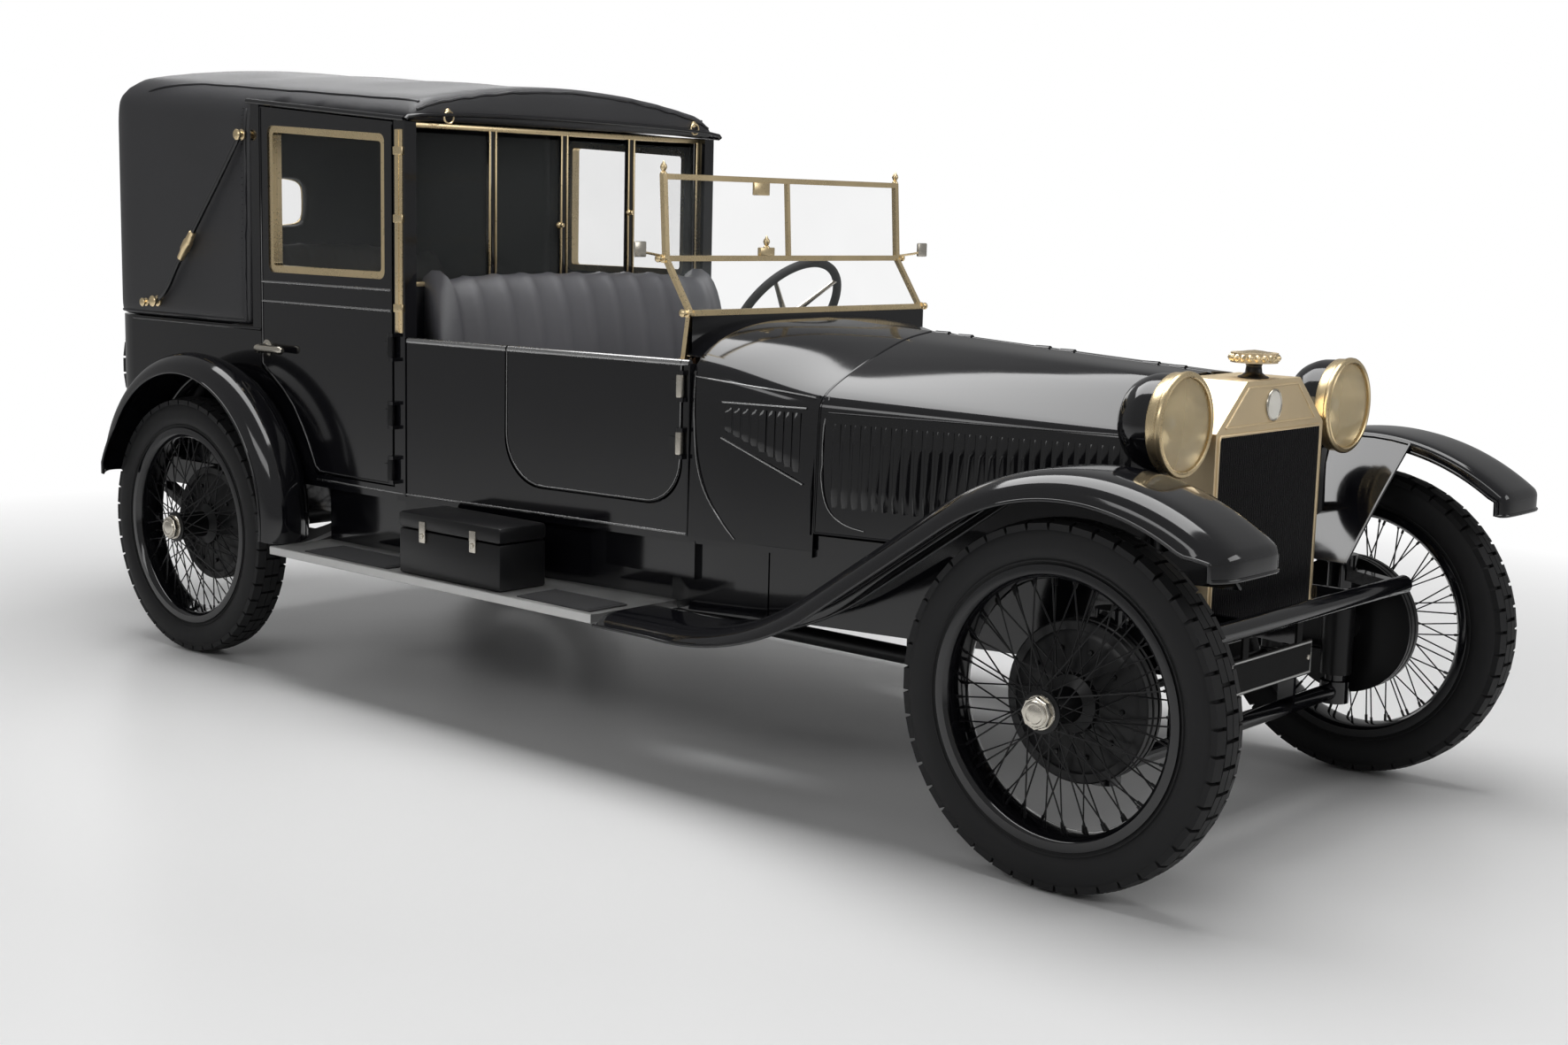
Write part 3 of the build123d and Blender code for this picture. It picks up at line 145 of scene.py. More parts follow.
rays = sky.nodes.new("ShaderNodeLightPath")
either = sky.nodes.new("ShaderNodeMath")
either.operation = "MAXIMUM"
part_seen = sky.nodes.new("ShaderNodeMath")
part_seen.operation = "MULTIPLY_ADD"
part_seen.inputs[1].default_value = GLOSSY_SHARE
mix = sky.nodes.new("ShaderNodeMixShader")
surface = sky.nodes.new("ShaderNodeOutputWorld").inputs["Surface"]
for start, end in ((rays.outputs["Is Camera Ray"], either.inputs[0]),
                   (rays.outputs["Is Transmission Ray"], either.inputs[1]),
                   (rays.outputs["Is Glossy Ray"], part_seen.inputs[0]),
                   (either.outputs[0], part_seen.inputs[2]), (part_seen.outputs[0], mix.inputs["Fac"]),
                   (white(SHED), mix.inputs[1]), (white(SEEN), mix.inputs[2]),
                   (mix.outputs[0], surface)):
    sky.links.new(start, end)
print("the camera sees", SEEN, "and the car is lit by", SHED)

# %% [markdown]
# ## A small language for finishes
# A finish is a tree of shader nodes. Written node by node it is hard to read, so one class wraps a
# socket: its operators add Math nodes, and `1 - mask` then means what it says. A second class is
# the finish itself, with one method for every other kind of node.

# %% Sockets with operators


class Value:
    """A number that a shader node gives, with the usual operators on it."""

    def __init__(self, finish, socket):
        self.finish, self.socket = finish, socket

    def math(self, operation, a, b=0.0):
        """A Math node on two values."""
        return self.finish.node("Math", {"operation": operation}, {0: a, 1: b})

    def __add__(self, other):
        return self.math("ADD", self, other)

    def __sub__(self, other):
        return self.math("SUBTRACT", self, other)

    def __rsub__(self, other):
        return self.math("SUBTRACT", other, self)

    def __mul__(self, other):
        return self.math("MULTIPLY", self, other)

    __radd__, __rmul__ = __add__, __mul__

# %% A finish and its nodes


class Finish:
    """A material built from a Principled shader and the nodes that vary it."""

    def __init__(self, name, **constants):
        self.material = bpy.data.materials.new(name)
        self.material.use_nodes = True
        self.tree = self.material.node_tree
        self.shader = self.tree.nodes["Principled BSDF"]
        for label, value in constants.items():
            self.shader.inputs[label.replace("_", " ")].default_value = value
        self.place = self.node("TexCoord", out="Object")

    def node(self, kind, settings=None, values=None, out=0):
        """Add a node: its settings first, then the values or links of its sockets."""
        made = self.tree.nodes.new("ShaderNode" + kind)
        for key, value in (settings or {}).items():
            if key == "stops":
                for stop, (spot, shade) in zip(made.color_ramp.elements, value):
                    stop.position, stop.color = spot, (shade, shade, shade, 1)
            else:
                setattr(made, key, value)
        for key, value in (values or {}).items():
            if isinstance(value, Value):
                self.tree.links.new(value.socket, made.inputs[key])
            else:
                made.inputs[key].default_value = value
        return Value(self, made.outputs[out])

    def noise(self, scale, detail=3.0, stretch=(1, 1, 1)):
        """Soft clouds, which stretch draws out along an axis or squeezes."""
        spot = self.node("Mapping", None, {"Vector": self.place, "Scale": stretch})
        return self.node("TexNoise", None, {"Vector": spot, "Scale": scale, "Detail": detail})

    def cells(self, scale):
        """How far a point is from the edges of small cells."""
        return self.node("TexVoronoi", {"feature": "DISTANCE_TO_EDGE"},
                         {"Vector": self.place, "Scale": scale})

    def ramp(self, value, start, end):
        """From 0 at start to 1 at end."""
        return self.node("ValToRGB", {"stops": [(start, 0.0), (end, 1.0)]}, {"Fac": value})

    def tint(self, mask, first, second):
        """A colour between two: a Mix node takes them at sockets 6 and 7 and gives it at output 2."""
        return self.node("Mix", {"data_type": "RGBA"},
                         {"Factor": mask, 6: (*first, 1), 7: (*second, 1)}, 2)

    def wear(self, label, value):
        """Let a value drive an input of the shader."""
        self.tree.links.new(value.socket, self.shader.inputs[label])

    def relief(self, height, strength, depth=0.001):
        """Turn a height into a bump that feeds the normal."""
        self.wear("Normal", self.node("Bump", None, {"Height": height, "Strength": strength,
                                                     "Distance": depth}))

# %% [markdown]
# ## The finishes
# Coach paint is black and very smooth, with only a breath of unevenness. Leather needs grain at two
# scales. Brass and nickel show soft clouds of tarnish and fine polishing marks. Every finish varies
# a little, because a perfectly even surface looks like plastic.

# %% Paint


def painted(name, colour, roughness, specular=0.5):
    """Smooth paint or enamel, a little uneven in its colour and its shine."""
    made = Finish(name, Specular_IOR_Level=specular)
    cloud = made.noise(2.2)
    dust = made.noise(160, 2)
    made.wear("Base Color", made.tint(cloud, colour, tuple(c * 1.7 for c in colour)))
    made.wear("Roughness", cloud * 0.05 + dust * 0.03 + (roughness - 0.04))
    made.relief(made.noise(45, 2), 0.015)
    return made.material


coach_paint = painted("coach_paint", (0.0030, 0.0030, 0.0040), 0.09, 0.70)
chassis_black = painted("chassis_black", (0.004, 0.004, 0.0045), 0.34, 0.35)
plate_black = painted("plate_black", (0.004, 0.004, 0.004), 0.60, 0.12)
white_enamel = painted("white_enamel", (0.72, 0.70, 0.64), 0.22)
print("nodes in the coach paint:", len(coach_paint.node_tree.nodes))

# %% [markdown]
# Leather has pebbles, which are small cells, and folds, which are a slow noise. Both go into one
# height, so that the light breaks up over them. Rubbed places are paler and a little duller.

# %% Leather and cloth


def hide(name, colour, roughness, grain, fold_strength):
    """Leather: a pebbled grain, soft folds, and lighter places where it is rubbed."""
    made = Finish(name, Specular_IOR_Level=0.7)
    pebbles = made.ramp(made.cells(grain), 0.02, 0.30)
    folds = made.noise(6.5, 4)
    rubbed = made.noise(3.1)
    made.wear("Base Color", made.tint(rubbed, colour, tuple(c * 2.1 + 0.004 for c in colour)))
    made.wear("Roughness", rubbed * 0.18 + (roughness - 0.09) - pebbles * 0.05)
    made.relief(pebbles * 0.35 + folds * fold_strength, 0.32, 0.0022)
    return made.material


roof_leather = hide("roof_leather", (0.010, 0.010, 0.0120), 0.40, 420, 0.35)
seat_leather = hide("seat_leather", (0.052, 0.052, 0.058), 0.38, 560, 0.25)
rear_cloth = hide("rear_cloth", (0.085, 0.080, 0.076), 0.62, 700, 0.25)
print("nodes in the roof leather:", len(roof_leather.node_tree.nodes))

# %% [markdown]
# Rubber is dark and dull. A very fine bump breaks up its shine, and scuffs make it paler in places.

# %% Rubber


def rubber(name, colour, roughness):
    """Dull rubber, scuffed a little paler in places."""
    made = Finish(name, Specular_IOR_Level=0.3)
    scuffs = made.noise(28, 5)
    made.wear("Base Color", made.tint(scuffs, colour, tuple(c * 1.9 for c in colour)))
    made.wear("Roughness", scuffs * 0.2 + (roughness - 0.1))
    made.relief(made.noise(380, 2), 0.12)
    return made.material


tyre_rubber = rubber("tyre_rubber", (0.0085, 0.0085, 0.009), 0.62)
mat_rubber = rubber("mat_rubber", (0.022, 0.022, 0.023), 0.75)
print("paint, leather and rubber:", len(bpy.data.materials) - GIVEN_FINISHES)

# %% [markdown]
# The colour of a metal is the colour of its reflections. So tarnish is a darker tint in soft clouds,
# and polishing is a fine noise in the roughness and the bump. On the running boards and the
# radiator that noise is drawn out one way, as brushing leaves it.

# %% Metals


def metal(name, colour, roughness, stretch=(1, 1, 1), tarnish=0.75, marks=0.05):
    """Polished metal with clouds of tarnish, and polishing marks that may run one way."""
    made = Finish(name, Metallic=1.0)
    cloud = made.noise(9, 4)
    lines = made.noise(150, 2, stretch)
    made.wear("Base Color", made.tint(cloud, tuple(c * tarnish for c in colour), colour))
    made.wear("Roughness", cloud * 0.12 + lines * 0.12 + (roughness - 0.1))
    made.relief(lines, marks, 0.0006)
    return made.material


brass = metal("brass", (0.95, 0.76, 0.46), 0.27)
pale_gold = metal("pale_gold", (0.86, 0.70, 0.46), 0.46, (1, 1, 0.02), 0.85, 0.10)
nickel = metal("nickel", (0.70, 0.66, 0.58), 0.22)
aluminium = metal("aluminium", (0.66, 0.66, 0.65), 0.38, (0.03, 1, 1), 0.85, 0.12)
reflector = metal("reflector", (0.95, 0.76, 0.44), 0.22)
cast_grey = metal("cast_grey", (0.12, 0.12, 0.12), 0.55)
bright_bead = metal("bright_bead", (0.42, 0.42, 0.42), 0.24)
print("with the metals:", len(bpy.data.materials) - GIVEN_FINISHES)

# %% [markdown]
# The dashboard is veneer under a coat of varnish, and its rings are a noise squeezed across the
# grain. Glass is a nearly clear surface with a thin film on it. It doesn't bend the light, because
# thin flat panes hardly do, and that saves much time in the render.

# %% Wood and glass
veneer = Finish("veneer", Specular_IOR_Level=0.5, Coat_Weight=0.6, Coat_Roughness=0.08)
rings = veneer.noise(14, 5, (1, 6, 6))
veneer.wear("Base Color", veneer.tint(veneer.ramp(rings, 0.35, 0.65), (0.030, 0.012, 0.005),
                                      (0.10, 0.040, 0.016)))
veneer.wear("Roughness", rings * 0.2 + 0.2)
dark_wood = veneer.material


def clear(name, colour, alpha, roughness=0.03):
    """Glass that is mostly see-through, with a faint film on it."""
    made = Finish(name, Specular_IOR_Level=0.8)
    film = made.noise(3.0)
    made.wear("Base Color", made.tint(film, colour, tuple(c * 0.8 for c in colour)))
    made.wear("Alpha", film * 0.06 + alpha)
    made.wear("Roughness", film * 0.04 + roughness)
    return made.material


window_glass = clear("window_glass", (0.30, 0.32, 0.32), 0.03)
lamp_glass = clear("lamp_glass", (0.93, 0.80, 0.52), 0.34, 0.12)
print("finishes:", len(bpy.data.materials) - GIVEN_FINISHES)

# %% [markdown]
# ## Making meshes
# Most pieces of a car are skins: rows of points that are joined by quads. A pipe, a turned part and
# a bent sheet are the same thing with different rows, so a few functions make them all. Each one
# merges its doubles and turns its faces outwards before a wall gets its thickness.

# %% Meshes and skins


def mesh_of(points, faces):
    """A mesh with doubles merged and faces turned outwards."""
    made = bpy.data.meshes.new("made")
    made.from_pydata([tuple(p) for p in points], [], faces)
    work = bmesh.new()
    work.from_mesh(made)
    bmesh.ops.remove_doubles(work, verts=work.verts, dist=1e-5)
    bmesh.ops.dissolve_degenerate(work, dist=1e-6, edges=work.edges)
    bmesh.ops.recalc_face_normals(work, faces=work.faces)
    work.to_mesh(made)
    work.free()
    return made


def skin(rows, around=False, ends=False):
    """Join rows of points by quads; around closes each row, ends cap the first and the last."""
    count = len(rows[0])
    faces = []
    for i in range(len(rows) - 1):
        for j in range(count if around else count - 1):
            k = (j + 1) % count
            faces.append((i * count + j, i * count + k, (i + 1) * count + k, (i + 1) * count + j))
    if ends:
        last = (len(rows) - 1) * count
        faces += [tuple(range(count))[::-1], tuple(range(last, last + count))]
    return mesh_of([p for row in rows for p in row], faces)


trial = skin([[Vector((i, j, 0)) for j in range(4)] for i in range(3)])
print("three rows of four points give", len(trial.polygons), "quads")

# %% Walls, copies and mirror images


def finished(mesh, *steps):
    """The mesh after modifiers, given as (type, settings)."""
    work = bpy.data.objects.new("work", mesh)
    bpy.context.scene.collection.objects.link(work)
    for kind, settings in steps:
        modifier = work.modifiers.new(kind, kind)
        for key, value in settings.items():
            setattr(modifier, key, value)
    made = bpy.data.meshes.new_from_object(work.evaluated_get(bpy.context.evaluated_depsgraph_get()))
    bpy.data.objects.remove(work)
    return made


def walled(mesh, thickness):
    """A sheet given a wall on its inner side."""
    return finished(mesh, ("SOLIDIFY", {"thickness": thickness, "offset": -1.0}))


def joined(*meshes):
    """Several meshes as one."""
    work = bmesh.new()
    for mesh in meshes:
        work.from_mesh(mesh)
    made = bpy.data.meshes.new("made")
    work.to_mesh(made)
    work.free()
    return made


def moved(mesh, matrix):
    """A copy of the mesh in another place; a mirrored copy keeps its faces outwards."""
    made = mesh.copy()
    made.transform(matrix)
    if matrix.determinant() < 0:
        made.flip_normals()
    return made


MIRROR = Matrix.Scale(-1, 4, (0, 1, 0))


def pair(mesh):
    """A left-hand mesh together with its mirror image."""
    return joined(mesh, moved(mesh, MIRROR))


print("with a wall they give", len(walled(trial, 0.1).polygons), "faces")

# %% [markdown]
# Hard-cornered lines are easy to write down, and cutting their corners again and again makes them
# smooth. A line turned about an axis gives a cap or a bowl, and a ring carried along a line gives a
# pipe. A brick is the one form that isn't a skin of a curve, so its edges are bevelled instead.

# %% Smooth lines


def rounded(points, cuts=2, loop=False):
    """Cut the corners of a line of points, again and again, until it is smooth."""
    points = [Vector(p) for p in points]
    for _ in range(cuts):
        ends = list(zip(points, points[1:] + (points[:1] if loop else [])))
        cut = [q for a, b in ends for q in (a.lerp(b, 0.25), a.lerp(b, 0.75))]
        points = cut if loop else [points[0]] + cut[1:-1] + [points[-1]]
    return points


def eased(pairs, cuts, loop=False):
    """Pairs of numbers drawn as a line, with its corners cut round."""
    return [(p.x, p.y) for p in rounded([(a, b, 0) for a, b in pairs], cuts, loop)]


def angles(count):
    """Angles that share out one full turn."""
    return [2 * pi * i / count for i in range(count)]


print("a corner cut twice:", [tuple(round(v, 2) for v in p) for p in eased([(0, 0), (1, 0), (1, 1)], 2)])

# %% Turned forms, pipes and bricks


def lathe(profile, centre=(0, 0, 0), axis=(0, 1, 0), turns=48):
    """Turn (along, radius) pairs about an axis."""
    along = Vector(axis).normalized()
    side = along.orthogonal().normalized()
    up = along.cross(side)
    rows = []
    for a, r in profile:
        rows.append([Vector(centre) + along * a + (side * cos(t) + up * sin(t)) * r
                     for t in angles(turns)])
    return skin(rows, around=True)


def tube(path, radius, sides=8, loop=False):
    """A round bar along a line of points; radius may be a list, one for each point."""
    path = [Vector(p) for p in path]
    count = len(path)
    radii = radius if isinstance(radius, list) else [radius] * count
    side, rows = None, []
    for i, p in enumerate(path):
        before = path[i - 1] if i or loop else p
        after = path[(i + 1) % count] if i < count - 1 or loop else p
        run = (after - before).normalized()
        side = run.orthogonal() if side is None else side - run * side.dot(run)
        side.normalize()
        up = run.cross(side)
        rows.append([p + (side * cos(t) + up * sin(t)) * radii[i] for t in angles(sides)])
    if loop:
        rows.append(rows[0])
    return skin(rows, around=True, ends=not loop)


def brick(low, high, bevel=0.002):
    """A block between two corners with its edges rounded off."""
    low, high = Vector(low), Vector(high)
    low, high = Vector(map(min, low, high)), Vector(map(max, low, high))
    ring = [(0, 0), (1, 0), (1, 1), (0, 1)]
    size = high - low
    rows = [[low + Vector((size.x * a, size.y * b, size.z * c)) for a, b in ring] for c in (0, 1)]
    return finished(skin(rows, around=True, ends=True), ("BEVEL", {"width": bevel, "segments": 2}))


print("a brick has", len(brick((0, 0, 0), (1, 1, 1)).polygons), "faces with its bevels")

# %% [markdown]
# Every piece is made in the same way. It gets one finish, smooth faces with sharp edges past
# an angle and the body that it rides on, and the CAD nodes that it stands for are hidden.

# %% Dressing a piece


def dress(name, mesh, body, finish, crease=35, stands_for=()):
    """Make the piece: its finish, its body, and the CAD nodes that it stands for."""
    mesh.name = name
    mesh.materials.clear()
    mesh.materials.append(finish)
    mesh.shade_smooth()
    mesh.set_sharp_from_angle(angle=radians(crease))
    piece = bpy.data.objects.new(name, mesh)
    bpy.context.scene.collection.objects.link(piece)
    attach(piece, body)
    if stands_for:
        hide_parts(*stands_for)
    return piece

# %% [markdown]
# ## Two node trees for what repeats
# Spokes, tread blocks, louvres, ribs and nails repeat by rule. The first tree turns each edge of a mesh
# into a round rod. The second puts one pattern on every point of a mesh, turned and sized as that
# point says. Both end in Realize Instances and Set Material, and both are run once and their result
# is kept as a plain mesh.

# %% Parts of a node tree


def tree_of(name, sizes):
    """A geometry tree with a geometry input, named inputs and an output."""
    tree = bpy.data.node_groups.new(name, "GeometryNodeTree")
    tree.interface.new_socket("Geometry", in_out="INPUT", socket_type="NodeSocketGeometry")
    for label, kind in sizes:
        tree.interface.new_socket(label, in_out="INPUT", socket_type="NodeSocket" + kind)
    tree.interface.new_socket("Geometry", in_out="OUTPUT", socket_type="NodeSocketGeometry")
    return tree, tree.nodes.new("NodeGroupInput"), tree.nodes.new("NodeGroupOutput")


def chain(tree, *links):
    """Link pairs of sockets."""
    for start, end in links:
        tree.links.new(start, end)


def ending(tree, geometry, start, end):
    """Realize the instances, set the finish and hand the geometry over."""
    real = tree.nodes.new("GeometryNodeRealizeInstances")
    finish = tree.nodes.new("GeometryNodeSetMaterial")
    chain(tree, (geometry, real.inputs[0]), (real.outputs[0], finish.inputs["Geometry"]),
          (start.outputs["Finish"], finish.inputs["Material"]), (finish.outputs[0], end.inputs[0]))

# %% Rods along every edge
rods, start, end = tree_of("rods", [("Radius", "Float"), ("Sides", "Int"), ("Finish", "Material")])
line = rods.nodes.new("GeometryNodeMeshToCurve")
ring = rods.nodes.new("GeometryNodeCurvePrimitiveCircle")
pipe = rods.nodes.new("GeometryNodeCurveToMesh")
pipe.inputs["Fill Caps"].default_value = True
chain(rods, (start.outputs["Geometry"], line.inputs["Mesh"]), (line.outputs["Curve"], pipe.inputs["Curve"]),
      (start.outputs["Radius"], ring.inputs["Radius"]), (start.outputs["Sides"], ring.inputs["Resolution"]),
      (ring.outputs["Curve"], pipe.inputs["Profile Curve"]))
ending(rods, pipe.outputs["Mesh"], start, end)
print("nodes that turn edges into rods:", len(rods.nodes))

# %% Copies on every point
repeats, start, end = tree_of("repeats", [("Pattern", "Object"), ("Finish", "Material")])
pattern = repeats.nodes.new("GeometryNodeObjectInfo")
copies = repeats.nodes.new("GeometryNodeInstanceOnPoints")
chain(repeats, (start.outputs["Geometry"], copies.inputs["Points"]),
      (start.outputs["Pattern"], pattern.inputs["Object"]),
      (pattern.outputs["Geometry"], copies.inputs["Instance"]))
for label, socket in (("turn", "Rotation"), ("size", "Scale")):
    named = repeats.nodes.new("GeometryNodeInputNamedAttribute")
    named.data_type = "FLOAT_VECTOR"
    named.inputs["Name"].default_value = label
    chain(repeats, (named.outputs["Attribute"], copies.inputs[socket]))
ending(repeats, copies.outputs["Instances"], start, end)
print("nodes that copy a pattern:", len(repeats.nodes))

# %% Running a tree


def grown(tree, mesh, **values):
    """Run a tree on a mesh and keep the result as a plain mesh."""
    work = bpy.data.objects.new("work", mesh)
    bpy.context.scene.collection.objects.link(work)
    modifier = work.modifiers.new("grow", "NODES")
    modifier.node_group = tree
    for item in tree.interface.items_tree:
        if item.in_out == "INPUT" and item.name in values:
            modifier[item.identifier] = values[item.name]
    made = bpy.data.meshes.new_from_object(work.evaluated_get(bpy.context.evaluated_depsgraph_get()))
    bpy.data.objects.remove(work)
    return made


def rods_between(ends, radius, finish, sides=6):
    """A round rod between each pair of points."""
    base = bpy.data.meshes.new("ends")
    points = [tuple(p) for both in ends for p in both]
    base.from_pydata(points, [(i, i + 1) for i in range(0, len(points), 2)], [])
    return grown(rods, base, Radius=radius, Sides=sides, Finish=finish)


def copies_at(spots, pattern_mesh, finish):
    """The pattern at each spot, given as (point, turn in radians, size)."""
    base = bpy.data.meshes.new("spots")
    base.from_pydata([tuple(p) for p, _, _ in spots], [], [])
    for label, column in (("turn", 1), ("size", 2)):
        attribute = base.attributes.new(label, "FLOAT_VECTOR", "POINT")
        attribute.data.foreach_set("vector", [v for spot in spots for v in spot[column]])
    holder = bpy.data.objects.new("pattern", pattern_mesh)
    made = grown(repeats, base, Pattern=holder, Finish=finish)
    bpy.data.objects.remove(holder)
    return made


WHOLE = (1, 1, 1)
print("trees:", [tree.name for tree in bpy.data.node_groups])

# %% [markdown]
# ## The wheels
# Each wheel is a laced wire wheel: a rim, two rows of spokes that cross between a wide inner flange
# and a narrow outer one, a brake drum behind and a plated hub cap in front. The tyre is a turned
# carcass with rows of tread blocks. One wheel is made at the origin with its outer side towards +Y,
# and then copied to its five places.

# %% Carcass of the tyre
GROOVE = TYRE_RADIUS - 0.0085
half_carcass = eased([(0.0405, 0.280), (0.0405, 0.296), (0.0545, 0.318), (0.0535, 0.352),
                      (0.0445, 0.3685), (0.020, GROOVE - 0.0015), (0.0, GROOVE)], 2)
carcass_line = half_carcass + [(-across, radius) for across, radius in half_carcass[-2::-1]]
carcass = lathe(carcass_line + carcass_line[:1], turns=96)
beads = [lathe([(side * (0.0475 + 0.0012 * cos(t)), 0.301 + 0.0016 * sin(t))
                for t in angles(6) + [2 * pi]], turns=96) for side in (-1, 1)]
print("groove at", round(GROOVE, 4), "of", round(TYRE_RADIUS, 4))

# %% Tread blocks
TREAD_BLOCKS = 44


def tread_block(inner, outer, depths):
    """A brick of the tread between two distances, that far below the crown, with its foot sunk in."""
    length = pi * TYRE_RADIUS / TREAD_BLOCKS * 0.87
    rows = []
    for across, depth in zip((inner, outer), depths):
        top = TYRE_RADIUS - 0.0002 - depth
        foot = GROOVE - 0.008 - depth
        rows.append([Vector((x, across, z)) for x, z in
                     ((-length, foot), (length, foot), (length * 0.97, top), (-length * 0.97, top))])
    return skin(rows, around=True, ends=True)


turn_step = 2 * pi / TREAD_BLOCKS
outer_block = tread_block(0.0245, 0.0480, (0.0012, 0.0068))
inner_block = moved(tread_block(0.0013, 0.0222, (0, 0.0009)), Matrix.Rotation(turn_step / 2, 4, "Y"))
blocks = copies_at([((0, 0, 0), (0, turn_step * i, 0), WHOLE) for i in range(TREAD_BLOCKS)],
                   pair(joined(outer_block, inner_block)), tyre_rubber)
tyre_mesh = joined(carcass, *beads, blocks)
print("tyre faces:", len(tyre_mesh.polygons))

# %% Rim and drum
RIM_SEAT = 0.2795
rim_line = eased([(0.0475, 0.2925), (0.0475, 0.268), (0.018, 0.2605), (-0.018, 0.2605),
                  (-0.0475, 0.268), (-0.0475, 0.2925), (-0.0425, 0.2925), (-0.0408, RIM_SEAT),
                  (0.0408, RIM_SEAT), (0.0425, 0.2925)], 1, True)
rim_mesh = lathe(rim_line + rim_line[:1], turns=96)
drum_mesh = lathe([(-0.081, 0.02), (-0.081, 0.166), (-0.079, 0.170), (-0.066, 0.170), (-0.0645, 0.1665),
                   (-0.0585, 0.1665), (-0.057, 0.170), (-0.044, 0.170), (-0.042, 0.167), (-0.042, 0.150),
                   (-0.036, 0.140), (-0.034, 0.075), (-0.030, 0.064), (-0.020, 0.0605), (-0.016, 0.052),
                   (-0.008, 0.038), (0.070, 0.034), (0.074, 0.043), (0.084, 0.0445), (0.087, 0.036),
                   (0.087, 0.02)], turns=64)
print("rim faces:", len(rim_mesh.polygons), "drum faces:", len(drum_mesh.polygons))

# %% Hub cap and bolts
BOLTS, BOLT_RING = 10, 0.115
cap_profile = [(0.086, 0.035), (0.089, 0.0365), (0.092, 0.035), (0.093, 0.0285), (0.107, 0.0275),
               (0.1095, 0.0255), (0.1105, 0.021), (0.1095, 0.0185), (0.1118, 0.0120), (0.1128, 0.006),
               (0.113, 0)]
nut_profile = [(0.0925, 0.0), (0.0925, 0.0325), (0.0945, 0.034), (0.1035, 0.034), (0.1055, 0.0325),
               (0.1055, 0.0)]
cap_mesh = joined(lathe(cap_profile, turns=48), lathe(nut_profile, turns=8))
bolt = lathe([(-0.001, 0), (-0.001, 0.006), (0.005, 0.006), (0.006, 0.005), (0.006, 0)], turns=6)
drum_bolts = copies_at([((BOLT_RING * cos(t), -0.0355, BOLT_RING * sin(t)), (0, -t, 0), WHOLE)
                        for t in angles(BOLTS)], bolt, chassis_black)
print("bolts on a drum:", BOLTS)

# %% Spokes
SPOKES, SPOKE_RING = 32, 0.2615
# Rows of spokes: radius and place at the hub, place at the rim, turn from hub to rim in degrees
SPOKE_ROWS = [(0.060, -0.022, -0.012, 26), (0.042, 0.079, 0.012, 34)]
spoke_ends, nipple_ends = [], []
for hub_radius, hub_place, rim_place, lean in SPOKE_ROWS:
    for i in range(SPOKES):
        turn = 2 * pi * (i + (0.5 if hub_place > 0 else 0)) / SPOKES
        foot_turn = turn + radians(lean if i % 2 else -lean)
        foot = Vector((hub_radius * cos(foot_turn), hub_place, hub_radius * sin(foot_turn)))
        head = Vector((SPOKE_RING * cos(turn), rim_place, SPOKE_RING * sin(turn)))
        spoke_ends.append((foot, head))
        nipple_ends.append((head, head.lerp(foot, 0.065)))
spokes_mesh = joined(rods_between(spoke_ends, 0.0018, chassis_black),
                     rods_between(nipple_ends, 0.0034, chassis_black))
print("spokes in a wheel:", len(spoke_ends))

# %% Five wheels in their places
WHEELS = [
    ("front_left", Matrix.Translation(AXLE), "left_front_wheel"),
    ("front_right", MIRROR @ Matrix.Translation(AXLE), "right_front_wheel"),
    ("rear_left", Matrix.Translation(REAR_AXLE), "left_rear_wheel"),
    ("rear_right", MIRROR @ Matrix.Translation(REAR_AXLE), "right_rear_wheel"),
    ("spare", Matrix.Translation(SPARE) @ Matrix.Rotation(pi / 2, 4, "Z"), "car"),
]
for corner, place, body in WHEELS:
    tyre_node, wheel_node = (("spare_tyre", "spare_wheel") if corner == "spare"
                             else ("tyre_" + corner, "wheel_" + corner))
    dress("tread_" + corner, moved(tyre_mesh, place), body, tyre_rubber, 30, [tyre_node])
    dress("rim_" + corner, moved(rim_mesh, place), body, coach_paint, 40, [wheel_node])
    dress("spokes_" + corner, moved(spokes_mesh, place), body, chassis_black, 60)
    dress("drum_" + corner, moved(joined(drum_mesh, drum_bolts), place), body, chassis_black,
          30)
    dress("hub_cap_" + corner, moved(cap_mesh, place), body, nickel, 30)
print("faces of one wheel:", sum(len(m.polygons) for m in
                                 (tyre_mesh, rim_mesh, spokes_mesh, drum_mesh, cap_mesh)))

# %% [markdown]
# ## The fenders
# A front fender is one pressed sheet: a round crown over the wheel, a straight fall and a reverse
# curve into the running board. Across, it has a gently domed top, a bevelled band and a short
# skirt. So one section is drawn and carried along the side curve. At the front the curve turns
# down in a short beak. A wired edge runs all round.

# %% Side curve of a front fender
BOARD_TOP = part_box("running_boards")[1].z
BOARD_FRONT = AXLE.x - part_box("running_boards")[1].x
CROWN_TOP, CROWN_AHEAD, CROWN_RADIUS = 0.871, 0.040, 0.580
FENDER_REACH, BEAK_RADIUS, BEAK_DROP = 0.398, 0.034, 0.030
FALL, TAIL_RADIUS = radians(34), 0.780
FULL_DEPTH = 0.058


